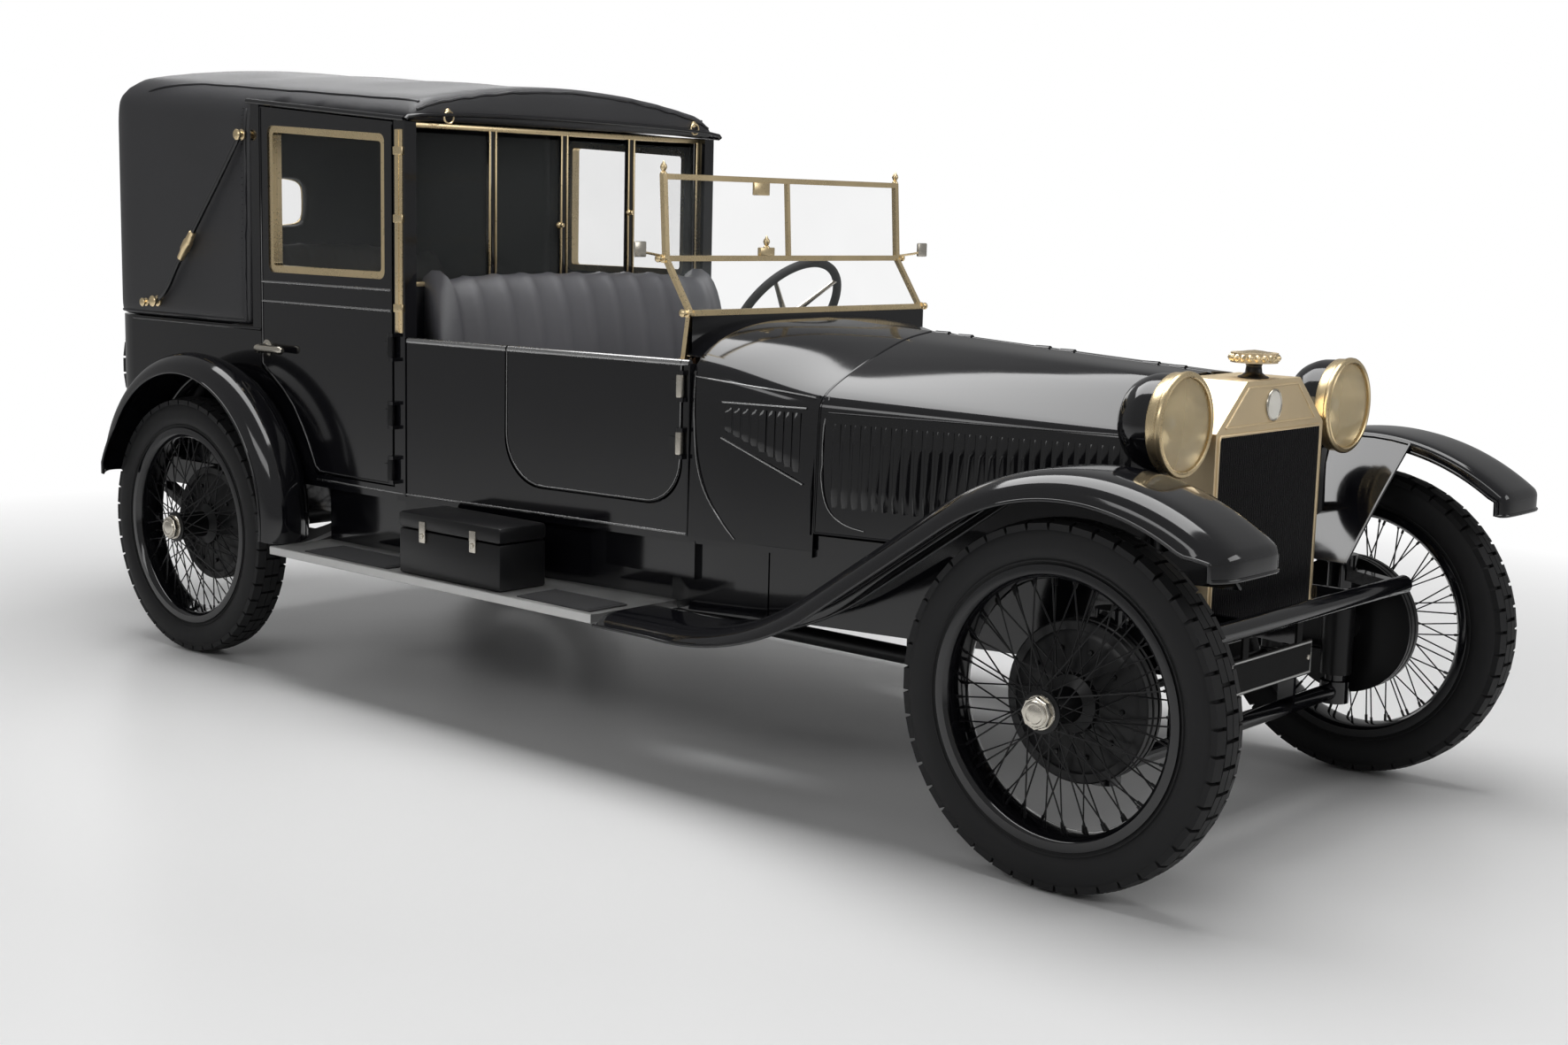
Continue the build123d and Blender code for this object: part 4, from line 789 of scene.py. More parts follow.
def fender_curve():
    """Spots down the side curve as (distance back, height, lean forward, deepest section)."""
    spots = []
    tip = asin((FENDER_REACH - 0.012 - CROWN_AHEAD) / CROWN_RADIUS)
    tip_back = -CROWN_AHEAD - CROWN_RADIUS * sin(tip)
    tip_high = CROWN_TOP - CROWN_RADIUS * (1 - cos(tip))
    hub_back, hub_high = tip_back + BEAK_RADIUS * sin(tip), tip_high - BEAK_RADIUS * cos(tip)
    lowest = radians(88)
    spots.append((hub_back - BEAK_RADIUS * sin(lowest), hub_high - BEAK_DROP, lowest, 0.030))
    for i in range(8):
        lean = lowest + (tip - lowest) * i / 7
        spots.append((hub_back - BEAK_RADIUS * sin(lean), hub_high + BEAK_RADIUS * cos(lean), lean, 0.031))
    for i in range(1, 41):
        lean = tip - (tip + FALL) * i / 40
        spots.append((-CROWN_AHEAD - CROWN_RADIUS * sin(lean), CROWN_TOP - CROWN_RADIUS * (1 - cos(lean)),
                      lean, min(FULL_DEPTH, 0.031 + 0.008 * i)))
    back, height = spots[-1][:2]
    run = (height - BOARD_TOP - TAIL_RADIUS * (1 - cos(FALL))) / tan(FALL)
    for i in range(1, 7):
        spots.append((back + run * i / 6, height - run * i / 6 * tan(FALL), -FALL, FULL_DEPTH))
    tail = back + run + TAIL_RADIUS * sin(FALL)
    for i in range(1, 19):
        lean = FALL * (1 - i / 18)
        spots.append((tail - TAIL_RADIUS * sin(lean), BOARD_TOP + TAIL_RADIUS * (1 - cos(lean)), -lean,
                      FULL_DEPTH - 0.0018 * i))
    spots.append((BOARD_FRONT, BOARD_TOP, 0.0, 0.0255))
    return spots


print("fender curve spots:", len(fender_curve()), "tip at", round(fender_curve()[0][0], 3))

# %% Front fender
FENDER_IN, FENDER_OUT = 0.540, 0.770
SHEET = 0.003
FENDER_SECTION = [(FENDER_IN, -0.034), (FENDER_IN, -0.013), (0.553, -0.004), (0.600, -0.0005),
                  (0.680, -0.0005), (0.716, -0.003), (0.742, -0.011), (0.767, -0.032),
                  (FENDER_OUT, -0.058)]
section = eased(FENDER_SECTION, 1)
rows = []
for back, height, lean, deep in fender_curve():
    rows.append([at(back - max(h, -deep) * sin(lean), y, height + max(h, -deep) * cos(lean))
                 for y, h in section])
wire = [row[-1] for row in rows[::-1]] + rows[0][-2:0:-1] + [row[0] for row in rows]
front_fender = joined(walled(skin(rows), SHEET), tube(wire, 0.0042, 8))
print("front fender faces:", len(front_fender.polygons))

# %% [markdown]
# Between a front fender and the hull lies an apron, a curved sheet that hides the tubes of the
# frame. Its outer edge follows the fender's side curve and its inner edge the hull, so the curve is
# first read back as a height at any distance. In between it arches a little upwards, which keeps it
# clear of a wheel at full lock.

# %% Aprons
# Half width of the hull's side at a distance behind the axle
HULL_LINE = [(-0.120, 0.2435), (0.870, 0.4265), (1.060, 0.4600)]
APRON_START, APRON_LENGTH, APRON_STEPS = -0.150, 1.170, 26
APRON_TOP, APRON_ARCH = 0.590, 0.008


def between(line, back):
    """A value at a distance back, from a line of (distance, value) pairs."""
    for (a, p), (b, q) in zip(line, line[1:]):
        if back <= b:
            return p + (q - p) * (back - a) / (b - a)
    return line[-1][1]


behind_beak = [spot[:2] for spot in fender_curve() if spot[2] < radians(37)]
rows = []
for i in range(APRON_STEPS + 1):
    back = APRON_START + APRON_LENGTH * i / APRON_STEPS
    height = between(behind_beak, back)
    outer = Vector((0, FENDER_IN + 0.003, height - 0.016))
    inner = Vector((0, between(HULL_LINE, back) + 0.006, min(APRON_TOP, height - 0.020)))
    bend = inner.lerp(outer, 0.5) + Vector((0, 0, APRON_ARCH))
    rows.append([at(back, p.y, p.z) for p in rounded([outer, bend, inner], 3)])
apron = joined(walled(skin(rows), SHEET), tube([row[0] for row in rows], 0.004, 6),
               tube(rows[0], 0.004, 6))
dress("front_fender_sheets", pair(joined(front_fender, apron)), "car", coach_paint, 50,
      ["front_fenders"])
print("apron faces:", len(apron.polygons))

# %% [markdown]
# A rear fender is a plain round arch, fuller across than the front one. Towards its tip the outer
# band gets shallower, and a lip closes it.

# %% Rear fenders
ARCH_BACK, ARCH_HIGH, ARCH_RADIUS = 3.045, 0.440, 0.465
ARCH_TIP, ARCH_STEPS = 0.550, 56
ARCH_SECTION = [(0.6005, -0.074), (0.6005, -0.061), (0.612, -0.044), (0.640, -0.023), (0.680, -0.006),
                (0.712, -0.0005), (0.738, -0.006), (0.766, -0.029), (0.770, -0.058)]
OUTER_BAND = 0.65
first = asin((BOARD_TOP - ARCH_HIGH) / ARCH_RADIUS)
last = pi - asin((ARCH_TIP - ARCH_HIGH) / ARCH_RADIUS)
section = eased(ARCH_SECTION, 1)
rows = []
for i in range(ARCH_STEPS + 1):
    turn = first + (last - first) * i / ARCH_STEPS
    shallow = -0.058 + 0.024 * max(0, i - 50) / 6
    row = []
    for y, h in section:
        reach = ARCH_RADIUS + max(h, shallow if y > OUTER_BAND else h)
        row.append(at(ARCH_BACK - reach * cos(turn), y, ARCH_HIGH + reach * sin(turn)))
    rows.append(row)
lip = [p + Vector((0, 0, -0.034)) if p.y > 0.625 else p for p in rows[-1]]
wire = [row[-1] for row in rows] + lip[:3:-1]
rear_fender = joined(walled(skin(rows + [lip]), SHEET), tube(wire, 0.0042, 8))
dress("rear_fender_sheets", pair(rear_fender), "car", coach_paint, 50, ["rear_fenders"])
print("rear fender faces:", len(rear_fender.polygons))

# %% [markdown]
# ## Bonnet and cowl
# The bonnet grows from the radiator's shape into a wide soft arch, and the cowl carries that arch on
# to the windscreen. Both are skins through a few outlines that are drawn with hard corners, cut
# round, and blended along the car. The louvres are one pressed form, repeated by the node tree and
# turned to the slope of each side.

# %% Bonnet sheet
BONNET_START, BONNET_END, COWL_END = 0.088, 0.868, 1.220
# Half outlines as (to the side, height), from the ridge down
NOSE_LINE = [(0.012, 1.0195), (0.116, 1.0145), (0.133, 1.000), (0.150, 0.980), (0.222, 0.909),
             (0.239, 0.892), (0.2425, 0.870), (0.245, 0.606)]
ARCH_LINE = [(0.012, 1.0695), (0.100, 1.058), (0.170, 1.038), (0.255, 1.008), (0.372, 0.958),
             (0.424, 0.924), (0.432, 0.880), (0.440, 0.606)]
WALL = 0.003


def blended(first, second, share):
    """An outline part of the way between two outlines of as many points."""
    return [Vector(a).lerp(Vector(b), share) for a, b in zip(first, second)]


def outline_rows(first, second, start, stop, count, ease=lambda share: share):
    """Rows of points from one outline to another, on the left side of the car."""
    made = []
    for i in range(count):
        share = i / (count - 1)
        back = start + (stop - start) * share
        made.append([at(back, y, z) for y, z in eased(blended(first, second, ease(share)), 2)])
    return made


nose = blended(NOSE_LINE, ARCH_LINE, BONNET_START / BONNET_END)
bonnet_rows = outline_rows(nose, ARCH_LINE, BONNET_START, BONNET_END, 18)
bonnet_sheet = walled(skin(bonnet_rows), WALL)
print("bonnet sheet faces:", len(bonnet_sheet.polygons))

# %% One louvre
LOUVRE_LENGTH, LOUVRE_RISE = 0.200, 0.0075


def louvre():
    """One pressed louvre that opens to the rear, on a side that faces +Y."""
    rows = []
    for i in range(9):
        share = 2 * i / 8 - 1
        rise = LOUVRE_RISE * max(0.0, 1 - share ** 8) ** 0.5
        z = LOUVRE_LENGTH / 2 * share
        rows.append([Vector((x, y, z)) for x, y in
                     ((0.0085, -0.003), (0.0085, 0.0), (0.003, 0.45 * rise), (-0.003, 0.85 * rise),
                      (-0.0062, rise), (-0.0072, 0.9 * rise), (-0.0070, -0.003))])
    return skin(rows, around=True, ends=True)


louvre_mesh = louvre()
print("louvre faces:", len(louvre_mesh.polygons))

# %% Louvres and lines on the bonnet's side
BONNET_LOUVRES, LOUVRE_MIDDLE = 28, 0.768
LOUVRES_START, LOUVRES_LENGTH = 0.125, 0.695


def side_at(rows, back, z):
    """The point of a skin's left side at a distance back and a height, and how the side turns."""
    row = min(rows, key=lambda r: abs(AXLE.x - r[0].x - back))
    spot = next((p for p in row if p.z <= z), row[-1])
    slope = (rows[-1][-1].y - rows[0][-1].y) / abs(rows[-1][-1].x - rows[0][-1].x)
    return at(back, spot.y + slope * (back - (AXLE.x - spot.x)), z), -slope


def on_skin(rows, spots, proud):
    """Points (distance back, height) laid just outside a skin's left side."""
    return [side_at(rows, back, z)[0] + Vector((0, proud, 0)) for back, z in spots]


spots = []
for i in range(BONNET_LOUVRES):
    spot, slope = side_at(bonnet_rows, LOUVRES_START + LOUVRES_LENGTH * i / (BONNET_LOUVRES - 1),
                          LOUVRE_MIDDLE)
    spots.append((spot, (0.017, 0, slope), WHOLE))
bonnet_louvres = copies_at(spots, louvre_mesh, coach_paint)
low_edge = [row[-1] for row in bonnet_rows]
crease = on_skin(bonnet_rows, [(0.100 + 0.745 * i / 12, 0.893) for i in range(13)], 0)
bonnet_half = joined(bonnet_sheet, bonnet_louvres, tube(low_edge, 0.0035, 6),
                     tube(bonnet_rows[-1], 0.0025, 6), tube(crease, 0.0022, 6))
bright_path = eased([(0.855, 0.930), (0.855, 0.80), (0.853, 0.72), (0.835, 0.660), (0.790, 0.630),
                     (0.740, 0.622)], 2)
bonnet_bead = tube(on_skin(bonnet_rows, bright_path, 0.0012), 0.0019, 6)
print("louvres on a bonnet half:", BONNET_LOUVRES)

# %% [markdown]
# The two halves of the bonnet hinge on one rod along the ridge. Each has three knuckles on it, and
# those of one side stand between those of the other. A turned brass catch holds each half down.

# %% Bonnet halves
RIDGE_START, RIDGE_END = 0.083, 0.876
RIDGE_LINE = [(0.0, 1.014), (0.873, 1.064)]
ridge = [at(back, 0, between(RIDGE_LINE, back)) for back in (RIDGE_START, RIDGE_END)]
knuckle = tube([(0.02, 0, 0), (-0.02, 0, 0)], 0.0105, 12)
latch = side_at(bonnet_rows, 0.540, 0.630)[0]
latch_lever = tube([latch + Vector(step) for step in
                    ((0.004, 0.020, 0.004), (0.020, 0.024, 0.020), (0.030, 0.020, 0.036))],
                   [0.006, 0.0055, 0.004], 8)
bonnet_catch = joined(lathe([(0, 0), (0, 0.013), (0.004, 0.014), (0.007, 0.010), (0.016, 0.006),
                             (0.020, 0.008), (0.024, 0.006), (0.025, 0)], latch, (0, 1, 0), 16),
                      latch_lever)
for side, place, starts in (("left", Matrix.Identity(4), (0.170, 0.470, 0.770)),
                            ("right", MIRROR, (0.240, 0.540, 0.840))):
    shares = [(start - RIDGE_START) / (RIDGE_END - RIDGE_START) for start in starts]
    knuckles = copies_at([(ridge[0].lerp(ridge[1], share), (0, 0, 0), WHOLE) for share in shares],
                         knuckle, coach_paint)
    body = side + "_bonnet"
    dress("bonnet_" + side + "_sheet", joined(moved(bonnet_half, place), knuckles), body, coach_paint,
          40, ["bonnet_" + side])
    dress("bonnet_catch_" + side, moved(bonnet_catch, place), body, brass, 40)
    dress("bonnet_bead_" + side, moved(bonnet_bead, place), body, bright_bead, 60)
print("ridge from", in_mm(ridge[0]), "to", in_mm(ridge[1]))

# %% Cowl sheets
COWL_FRONT_LINE = [(0, 1.0700)] + ARCH_LINE[1:-1] + [(0.440, 0.5605)]
COWL_BACK_LINE = [(0, 1.0870), (0.160, 1.0850), (0.270, 1.0780), (0.372, 1.0540), (0.452, 1.0160),
                  (0.492, 0.975), (0.4985, 0.930), (0.505, 0.5605)]
LEDGE_BACKS, LEDGE_TOP = (1.258, 1.270), 1.0968
cowl_rows = outline_rows(COWL_FRONT_LINE, COWL_BACK_LINE, 0.873, COWL_END, 12,
                         lambda share: share - 0.05 * sin(2 * pi * share))
top_back = [p for p in cowl_rows[-1] if p.z > 1.0]
scuttle_rows = [[p + Vector((-d, 0, 0)) for p in top_back] for d in (0, 0.016, 0.034, 0.050)]
ledge_low = [[Vector((AXLE.x - back, p.y * 0.99, p.z - 0.012)) for p in top_back] for back in LEDGE_BACKS]
ledge_high = [[Vector((p.x, p.y, LEDGE_TOP)) for p in row] for row in ledge_low]
ledge = skin([ledge_low[0], ledge_high[0], ledge_high[1], ledge_low[1]])
wall_line = cowl_rows[1]
count = len(wall_line)
bulkhead = mesh_of([Vector((wall_line[0].x, p.y * 0.992 * s, p.z - 0.004)) for s in (1, -1)
                    for p in wall_line],
                   [tuple(range(count)) + tuple(range(2 * count - 1, count - 1, -1))])
print("cowl rows:", len(cowl_rows), "of", count, "points")

# %% Cowl louvres and beads
COWL_LOUVRES, COWL_LOUVRE_TOP = 9, 0.886
spots = []
for i in range(COWL_LOUVRES):
    back, foot = 1.112 - 0.023 * i, 0.826 - 0.010 * i
    spot, slope = side_at(cowl_rows, back, (COWL_LOUVRE_TOP + foot) / 2)
    spots.append((spot, (0.02, 0, slope), (1, 1, (COWL_LOUVRE_TOP - foot) / LOUVRE_LENGTH)))
cowl_louvres = copies_at(spots, louvre_mesh, coach_paint)
top_line = on_skin(cowl_rows, [(1.130, 0.898), (0.905, 0.898)], 0.001)
slant_line = on_skin(cowl_rows, [(1.130, 0.812), (0.905, 0.718)], 0.001)
tub_line = on_skin(cowl_rows, [(1.212, 0.968), (1.212, 0.90), (1.208, 0.82), (1.196, 0.74), (1.170, 0.67),
                               (1.120, 0.605), (1.085, 0.568)], 0.0015)
front_line = on_skin(cowl_rows, [(0.880, 0.930), (0.880, 0.70), (0.880, 0.60)], 0.0012)
crease = on_skin(cowl_rows, [(0.885 + 0.325 * i / 8, 0.925 + 0.030 * i / 8) for i in range(9)], 0.0012)
cowl_half = joined(walled(skin(cowl_rows), WALL), walled(skin(scuttle_rows), WALL), ledge, cowl_louvres,
                   tube(front_line, 0.0025, 6))
rod = tube(ridge, 0.0068, 12)
dress("cowl_sheet", joined(pair(cowl_half), rod, bulkhead), "car", coach_paint, 40, ["cowl"])
dress("cowl_beads", pair(joined(tube(top_line, 0.0024, 6), tube(slant_line, 0.0024, 6),
                                tube(rounded(tub_line, 2), 0.0022, 6), tube(crease, 0.0018, 6))),
      "car", bright_bead, 60)
print("louvres on the car:", 2 * (BONNET_LOUVRES + COWL_LOUVRES))

# %% [markdown]
# ## The leather head
# The roof, the back and the quarters are covered in one skin of grained leather, drawn tight over
# padded bows. The CAD solid gives its form but has hard edges. A copy of it is remeshed and then
# smoothed, so that every edge turns over softly, and it sags a little between the bows. Welts and
# a drip moulding are laid on the finished surface.

# %% Soft leather shell
VOXEL, SMOOTHINGS = ((0.0125, 22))
BOWS = (2.24, 2.62, 3.00, 3.38)
SAG = 0.0035
source = bmesh.new()
source.from_mesh(frame["nodes"]["leather_head"].data)
bmesh.ops.remove_doubles(source, verts=source.verts, dist=1e-5)
head_mesh = bpy.data.meshes.new("head")
source.to_mesh(head_mesh)
source.free()
head_mesh = finished(head_mesh, ("REMESH", {"mode": "VOXEL", "voxel_size": VOXEL}),
                     ("SMOOTH", {"factor": 0.5, "iterations": SMOOTHINGS}))
for v in head_mesh.vertices:
    back = AXLE.x - v.co.x
    if v.co.z > 1.55 and v.normal.z > 0.4 and BOWS[0] < back < BOWS[-1]:
        a, b = next((a, b) for a, b in zip(BOWS, BOWS[1:]) if back <= b)
        v.co.z -= SAG * sin(pi * (back - a) / (b - a)) ** 2 * max(0, 1 - (abs(v.co.y) / 0.56) ** 4)
dress("leather_head_shell", head_mesh, "car", roof_leather, 180, ["leather_head"])
print("leather faces:", len(head_mesh.polygons))

# %% [markdown]
# A welt is a thin cord under the leather that covers a seam. The shell is no longer the CAD solid,
# so each welt is laid on it by looking up the nearest point of the finished surface. A bounding tree
# of the shell answers that quickly.

# %% Welts
shell = bmesh.new()
shell.from_mesh(head_mesh)
head_tree = BVHTree.FromBMesh(shell)
HOOD_EDGE = 2.912
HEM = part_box("leather_head")[0].z + 0.010


def laid(points, lift=0.001, fine=6):
    """A line laid on the outside of the leather, with points added between the given ones."""
    points = [Vector(p) for p in points]
    dense = [a.lerp(b, i / fine) for a, b in zip(points, points[1:]) for i in range(fine)] + [points[-1]]
    made = []
    for p in dense:
        outward = Vector((p.x - at(2.9, 0, 0).x, p.y, p.z - 1.2)).normalized()
        spot, normal, _, _ = head_tree.find_nearest(p + outward * 0.02)
        made.append(spot + normal * lift)
    return made


side_welt = [at(b, 0.560, z) for b, z in ((2.20, 1.657), (2.55, 1.685), (2.90, 1.713), (3.20, 1.737))]
side_welt += [at(3.42, 0.555, 1.66), at(3.58, 0.52, 1.58)]
quarter_hem = [at(HOOD_EDGE + 0.010, 0.606, z) for z in (1.61, 1.50, 1.35, 1.20, 1.08, 0.996)]
low_hem = [at(b, y, HEM) for b, y in
           ((2.93, 0.606), (3.15, 0.606), (3.35, 0.606), (3.55, 0.606), (3.62, 0.590), (3.67, 0.52),
            (3.675, 0.42), (3.675, 0.2), (3.675, 0))]
front_hem = [at(2.186, y, 1.60 + 0.075 * (1 - (y / 0.56) ** 2)) for y in (0.56, 0.45, 0.3, 0.15, 0)]
welts = joined(*[tube(laid(line, 0.0005), 0.0042, 6)
                 for line in (side_welt, quarter_hem, low_hem, front_hem)])
dress("leather_welts", pair(welts), "car", roof_leather, 60)
print("welt faces:", len(welts.polygons))

# %% Drip moulding and nails
GUTTER = [(2.188, 1.574), (2.905, 1.6315)]
drip = tube([at(b, 0.610, z) for b, z in GUTTER], 0.0075, 8)
front_drip = tube(rounded([at(2.182, y, z) for y, z in
                           ((0.610, 1.573), (0.600, 1.583), (0.45, 1.592), (0.2, 1.597), (0, 1.598))], 1),
                  0.006, 8)
dress("drip_moulding", pair(joined(drip, front_drip)), "car", coach_paint, 60)
nail = lathe([(-0.001, 0), (-0.001, 0.0042), (0.0008, 0.0040), (0.0022, 0.0025), (0.0026, 0)],
             axis=(0, 0, 1), turns=8)
nail_spots = [(Vector((p.x - 0.014, s * (p.y + 0.0005), p.z)), (-pi / 2 * s, 0, 0), WHOLE)
              for p in laid(quarter_hem, 0.0, 8) for s in (1, -1)]
dress("hem_nails", copies_at(nail_spots, nail, coach_paint), "car", coach_paint, 30)
print("nails:", len(nail_spots))

# %% [markdown]
# The rear window has a brass frame that follows the curve of the back. Its outline is a rounded
# oblong, and each of its points is thrown forwards until it strikes the leather.

# %% Rear window frame
LIGHT_Z, LIGHT_HALF_WIDE, LIGHT_HALF_HIGH = 1.345, 0.150, 0.075
light_ring = []
for t in angles(48):
    y = LIGHT_HALF_WIDE * abs(cos(t)) ** 0.5 * (1 if cos(t) > 0 else -1)
    z = LIGHT_HALF_HIGH * abs(sin(t)) ** 0.5 * (1 if sin(t) > 0 else -1)
    hit = head_tree.ray_cast(at(4.012, y * 1.08, LIGHT_Z + z * 1.12), Vector((1, 0, 0)))[0]
    if hit is not None:
        light_ring.append(hit + Vector((-0.002, 0, 0)))
dress("rear_light_frame", tube(light_ring, 0.007, 8, True), "car", brass, 60)
print("points on the frame:", len(light_ring))

# %% [markdown]
# A landau iron is the folding stay of the head. Here it is a slim black rod in a shallow S, with a
# brass barrel at its middle joint and turned knuckles at its ends.

# %% Landau irons
IRON_Y = 0.617
IRON_TOP, IRON_FOOT, IRON_TAIL = (2.933, 1.536), (3.393, 1.036), (3.455, 1.030)
iron_path = rounded([at(2.933, IRON_Y, 1.536), at(3.02, IRON_Y + 0.004, 1.425),
                     at(3.13, IRON_Y + 0.006, 1.300), at(3.205, IRON_Y + 0.006, 1.215),
                     at(3.275, IRON_Y + 0.004, 1.135), at(3.325, IRON_Y + 0.002, 1.070),
                     at(3.393, IRON_Y, 1.036)], 3)
dress("landau_iron_rods", pair(tube(iron_path, 0.0072, 10)), "car", coach_paint, 60,
      ["landau_irons"])


def knob(spot, size):
    """A turned brass knuckle that stands on the leather at (distance back, height)."""
    profile = [(-0.6, 0), (-0.6, 0.9), (-0.25, 1.0), (0.0, 0.6), (0.25, 0.55), (0.45, 0.95), (0.8, 1.0),
               (1.05, 0.75), (1.15, 0)]
    return lathe([(a * size, r * size) for a, r in profile], at(spot[0], IRON_Y - 0.001, spot[1]),
                 (0, 1, 0), 24)


half_way = len(iron_path) // 2
middle = iron_path[half_way]
run = (iron_path[half_way + 1] - middle).normalized()
barrel = lathe([(-0.055, 0.007), (-0.052, 0.011), (-0.020, 0.0125), (-0.016, 0.015), (0.016, 0.015),
                (0.020, 0.0125), (0.052, 0.011), (0.055, 0.007)], middle, run, 20)
iron_brass = joined(barrel, knob(IRON_TOP, 0.016), knob(IRON_FOOT, 0.017),
                    tube([at(3.393, IRON_Y, 1.036), at(3.452, IRON_Y, 1.030)], 0.006, 8),
                    knob(IRON_TAIL, 0.013))
dress("landau_iron_brass", pair(iron_brass), "car", brass, 40)
print("iron spans", round((iron_path[-1] - iron_path[0]).length, 3), "m")

# %% [markdown]
# ## Lamps and radiator
# The headlamps are deep black bowls with a wide brass band, a bright ring, a gold reflector and a
# slightly domed glass. Every one of these is turned about the same axis, so a profile and a lathe
# make it. How deep the bowl is comes from the CAD, where a lifted bonnet has to clear its back.

# %% Headlamp bowls
LAMP_Y, LAMP_Z, LAMP_RADIUS = 0.369, 0.940, 0.108
LAMP_FRONT = AXLE.x + 0.071
BOWL_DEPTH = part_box("headlamp_rims")[1].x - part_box("headlamp_bowls")[0].x - 0.003
lamp_place = Vector((LAMP_FRONT, LAMP_Y, LAMP_Z))


def lamp_turned(profile, turns=64, place=lamp_place):
    """Turn (forward, radius) pairs about the lamp's own axis."""
    return lathe(profile, place, (1, 0, 0), turns)


bowl_line = eased([(0.024, LAMP_RADIUS - 0.003), (0.045, LAMP_RADIUS - 0.003), (0.56 * BOWL_DEPTH, 0.103),
                   (0.86 * BOWL_DEPTH, 0.084), (0.99 * BOWL_DEPTH, 0.050), (BOWL_DEPTH, 0.026),
                   (BOWL_DEPTH, 0)], 2)
lamp_bowl = lamp_turned([(-back, radius) for back, radius in bowl_line])
post = tube([Vector((LAMP_FRONT - 0.060, LAMP_Y, z)) for z in (0.640, 0.680, 0.76, 0.800, 0.832, 0.845)],
            [0.026, 0.015, 0.0125, 0.0125, 0.018, 0.022], 16)
dress("headlamp_shells", pair(joined(lamp_bowl, post)), "car", coach_paint, 40,
      ["headlamp_bowls"])
print("bowl depth:", round(BOWL_DEPTH, 4))

# %% Headlamp bands, dishes and glasses
vents = joined(*[brick((-0.062, -0.0015, z - 0.0016), (-0.034, 0.0015, z + 0.0016), 0.0008)
                 for z in (0.0, -0.014)])
lamp_vents = moved(vents, Matrix.Translation(lamp_place - Vector((0, LAMP_RADIUS - 0.003, 0))))
band = lamp_turned([(0.003, 0.1005), (0.003, 0.109), (0.000, 0.1115), (-0.004, 0.112), (-0.008, 0.1105),
                    (-0.010, 0.1085), (-0.030, 0.1078), (-0.033, 0.1055), (-0.033, 0.100)], 72)
bezel = lamp_turned([(-0.004, 0.099), (0.003, 0.0985), (0.005, 0.101), (0.003, 0.1035),
                     (-0.004, 0.1035)], 72)
dress("headlamp_bands", pair(joined(band, bezel, lamp_vents)), "car", brass, 40, ["headlamp_rims"])
dish = lamp_turned([(-0.006, 0.1015), (-0.018, 0.097), (-0.040, 0.084), (-0.062, 0.062), (-0.076, 0.036),
                    (-0.080, 0.014), (-0.080, 0)])
dress("headlamp_dishes", pair(dish), "car", reflector, 60)
bulb = lamp_turned([(-0.080, 0), (-0.080, 0.012), (-0.060, 0.013), (-0.056, 0.009), (-0.050, 0.014),
                    (-0.040, 0.016), (-0.030, 0.012), (-0.024, 0)], 20)
dress("headlamp_bulbs", pair(bulb), "car", white_enamel, 60)
lens = lamp_turned([(-0.004, 0.1005), (0.000, 0.1000), (0.0055, 0.080), (0.009, 0.050), (0.0105, 0.020),
                    (0.0108, 0), (0.0078, 0), (0.0075, 0.020), (0.006, 0.050), (0.0025, 0.080),
                    (-0.004, 0.0980), (-0.004, 0.1005)], place=lamp_place - Vector((0.002, 0, 0)))
dress("headlamp_glasses", pair(lens), "car", lamp_glass, 60, ["headlamp_lenses"])
print("lamp middle:", in_mm(lamp_place))

# %% [markdown]
# The radiator's shell is CAD. On its face lie an embossed field, a strip round the core and a plain
# white badge. The core is a row of fine upright tubes, which the second node tree repeats. The cap
# is turned too, but its rim is scalloped, so its rows are drawn with a wave in their radius.

# %% Radiator border and badge
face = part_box("radiator_shell")[1].x - 0.004
FIELD = [(-0.203, 0.922), (-0.112, 1.004), (0.112, 1.004), (0.203, 0.922)]
STRIP = [(-0.229, 0.480), (-0.229, 0.895), (-0.224, 0.905), (0.224, 0.905), (0.229, 0.895), (0.229, 0.480)]
border = joined(*[tube([Vector((face, *FIELD[i - 1])), Vector((face, *FIELD[i]))], 0.0026, 8)
                  for i in range(4)])
strip = tube([Vector((face, y, z)) for y, z in STRIP], 0.0036, 8)
dress("radiator_border", joined(border, strip), "car", pale_gold, 60)
oval = Matrix.Translation((face, 0, 0.962)) @ Matrix.Diagonal((1, 1.10, 1.22, 1))
badge_rim = lathe([(0.000, 0.030), (0.005, 0.0295), (0.0065, 0.0275), (0.005, 0.0255), (0.000, 0.0255)],
                  axis=(1, 0, 0), turns=40)
badge_face = lathe([(0.0, 0.0265), (0.004, 0.026), (0.0055, 0.015), (0.006, 0)], axis=(1, 0, 0), turns=40)
dress("badge_rim", moved(badge_rim, oval), "car", nickel, 60)
dress("badge_face", moved(badge_face, oval), "car", white_enamel, 60)
print("radiator face at", round(face, 4))

# %% Radiator core and cap
CORE_TOP, CORE_LOW, CORE_TUBES = 0.906, 0.489, 58
tube_pattern = tube([(0, 0, CORE_LOW + 0.001), (0, 0, CORE_TOP - 0.001)], 0.0032, 6)
core_spots = [((face - 0.0005, -0.222 + 0.444 * i / (CORE_TUBES - 1), 0), (0, 0, 0), WHOLE)
              for i in range(CORE_TUBES)]
dress("radiator_tubes", copies_at(core_spots, tube_pattern, chassis_black), "car", chassis_black,
      60)
cap_spot = at(-0.020, 0, 1.018)
neck = lathe([(-0.004, 0.034), (0.003, 0.034), (0.006, 0.026), (0.012, 0.019), (0.026, 0.017),
              (0.032, 0.019), (0.035, 0.026)], cap_spot, (0, 0, 1), 40)
dress("filler_neck", neck, "car", chassis_black, 50)
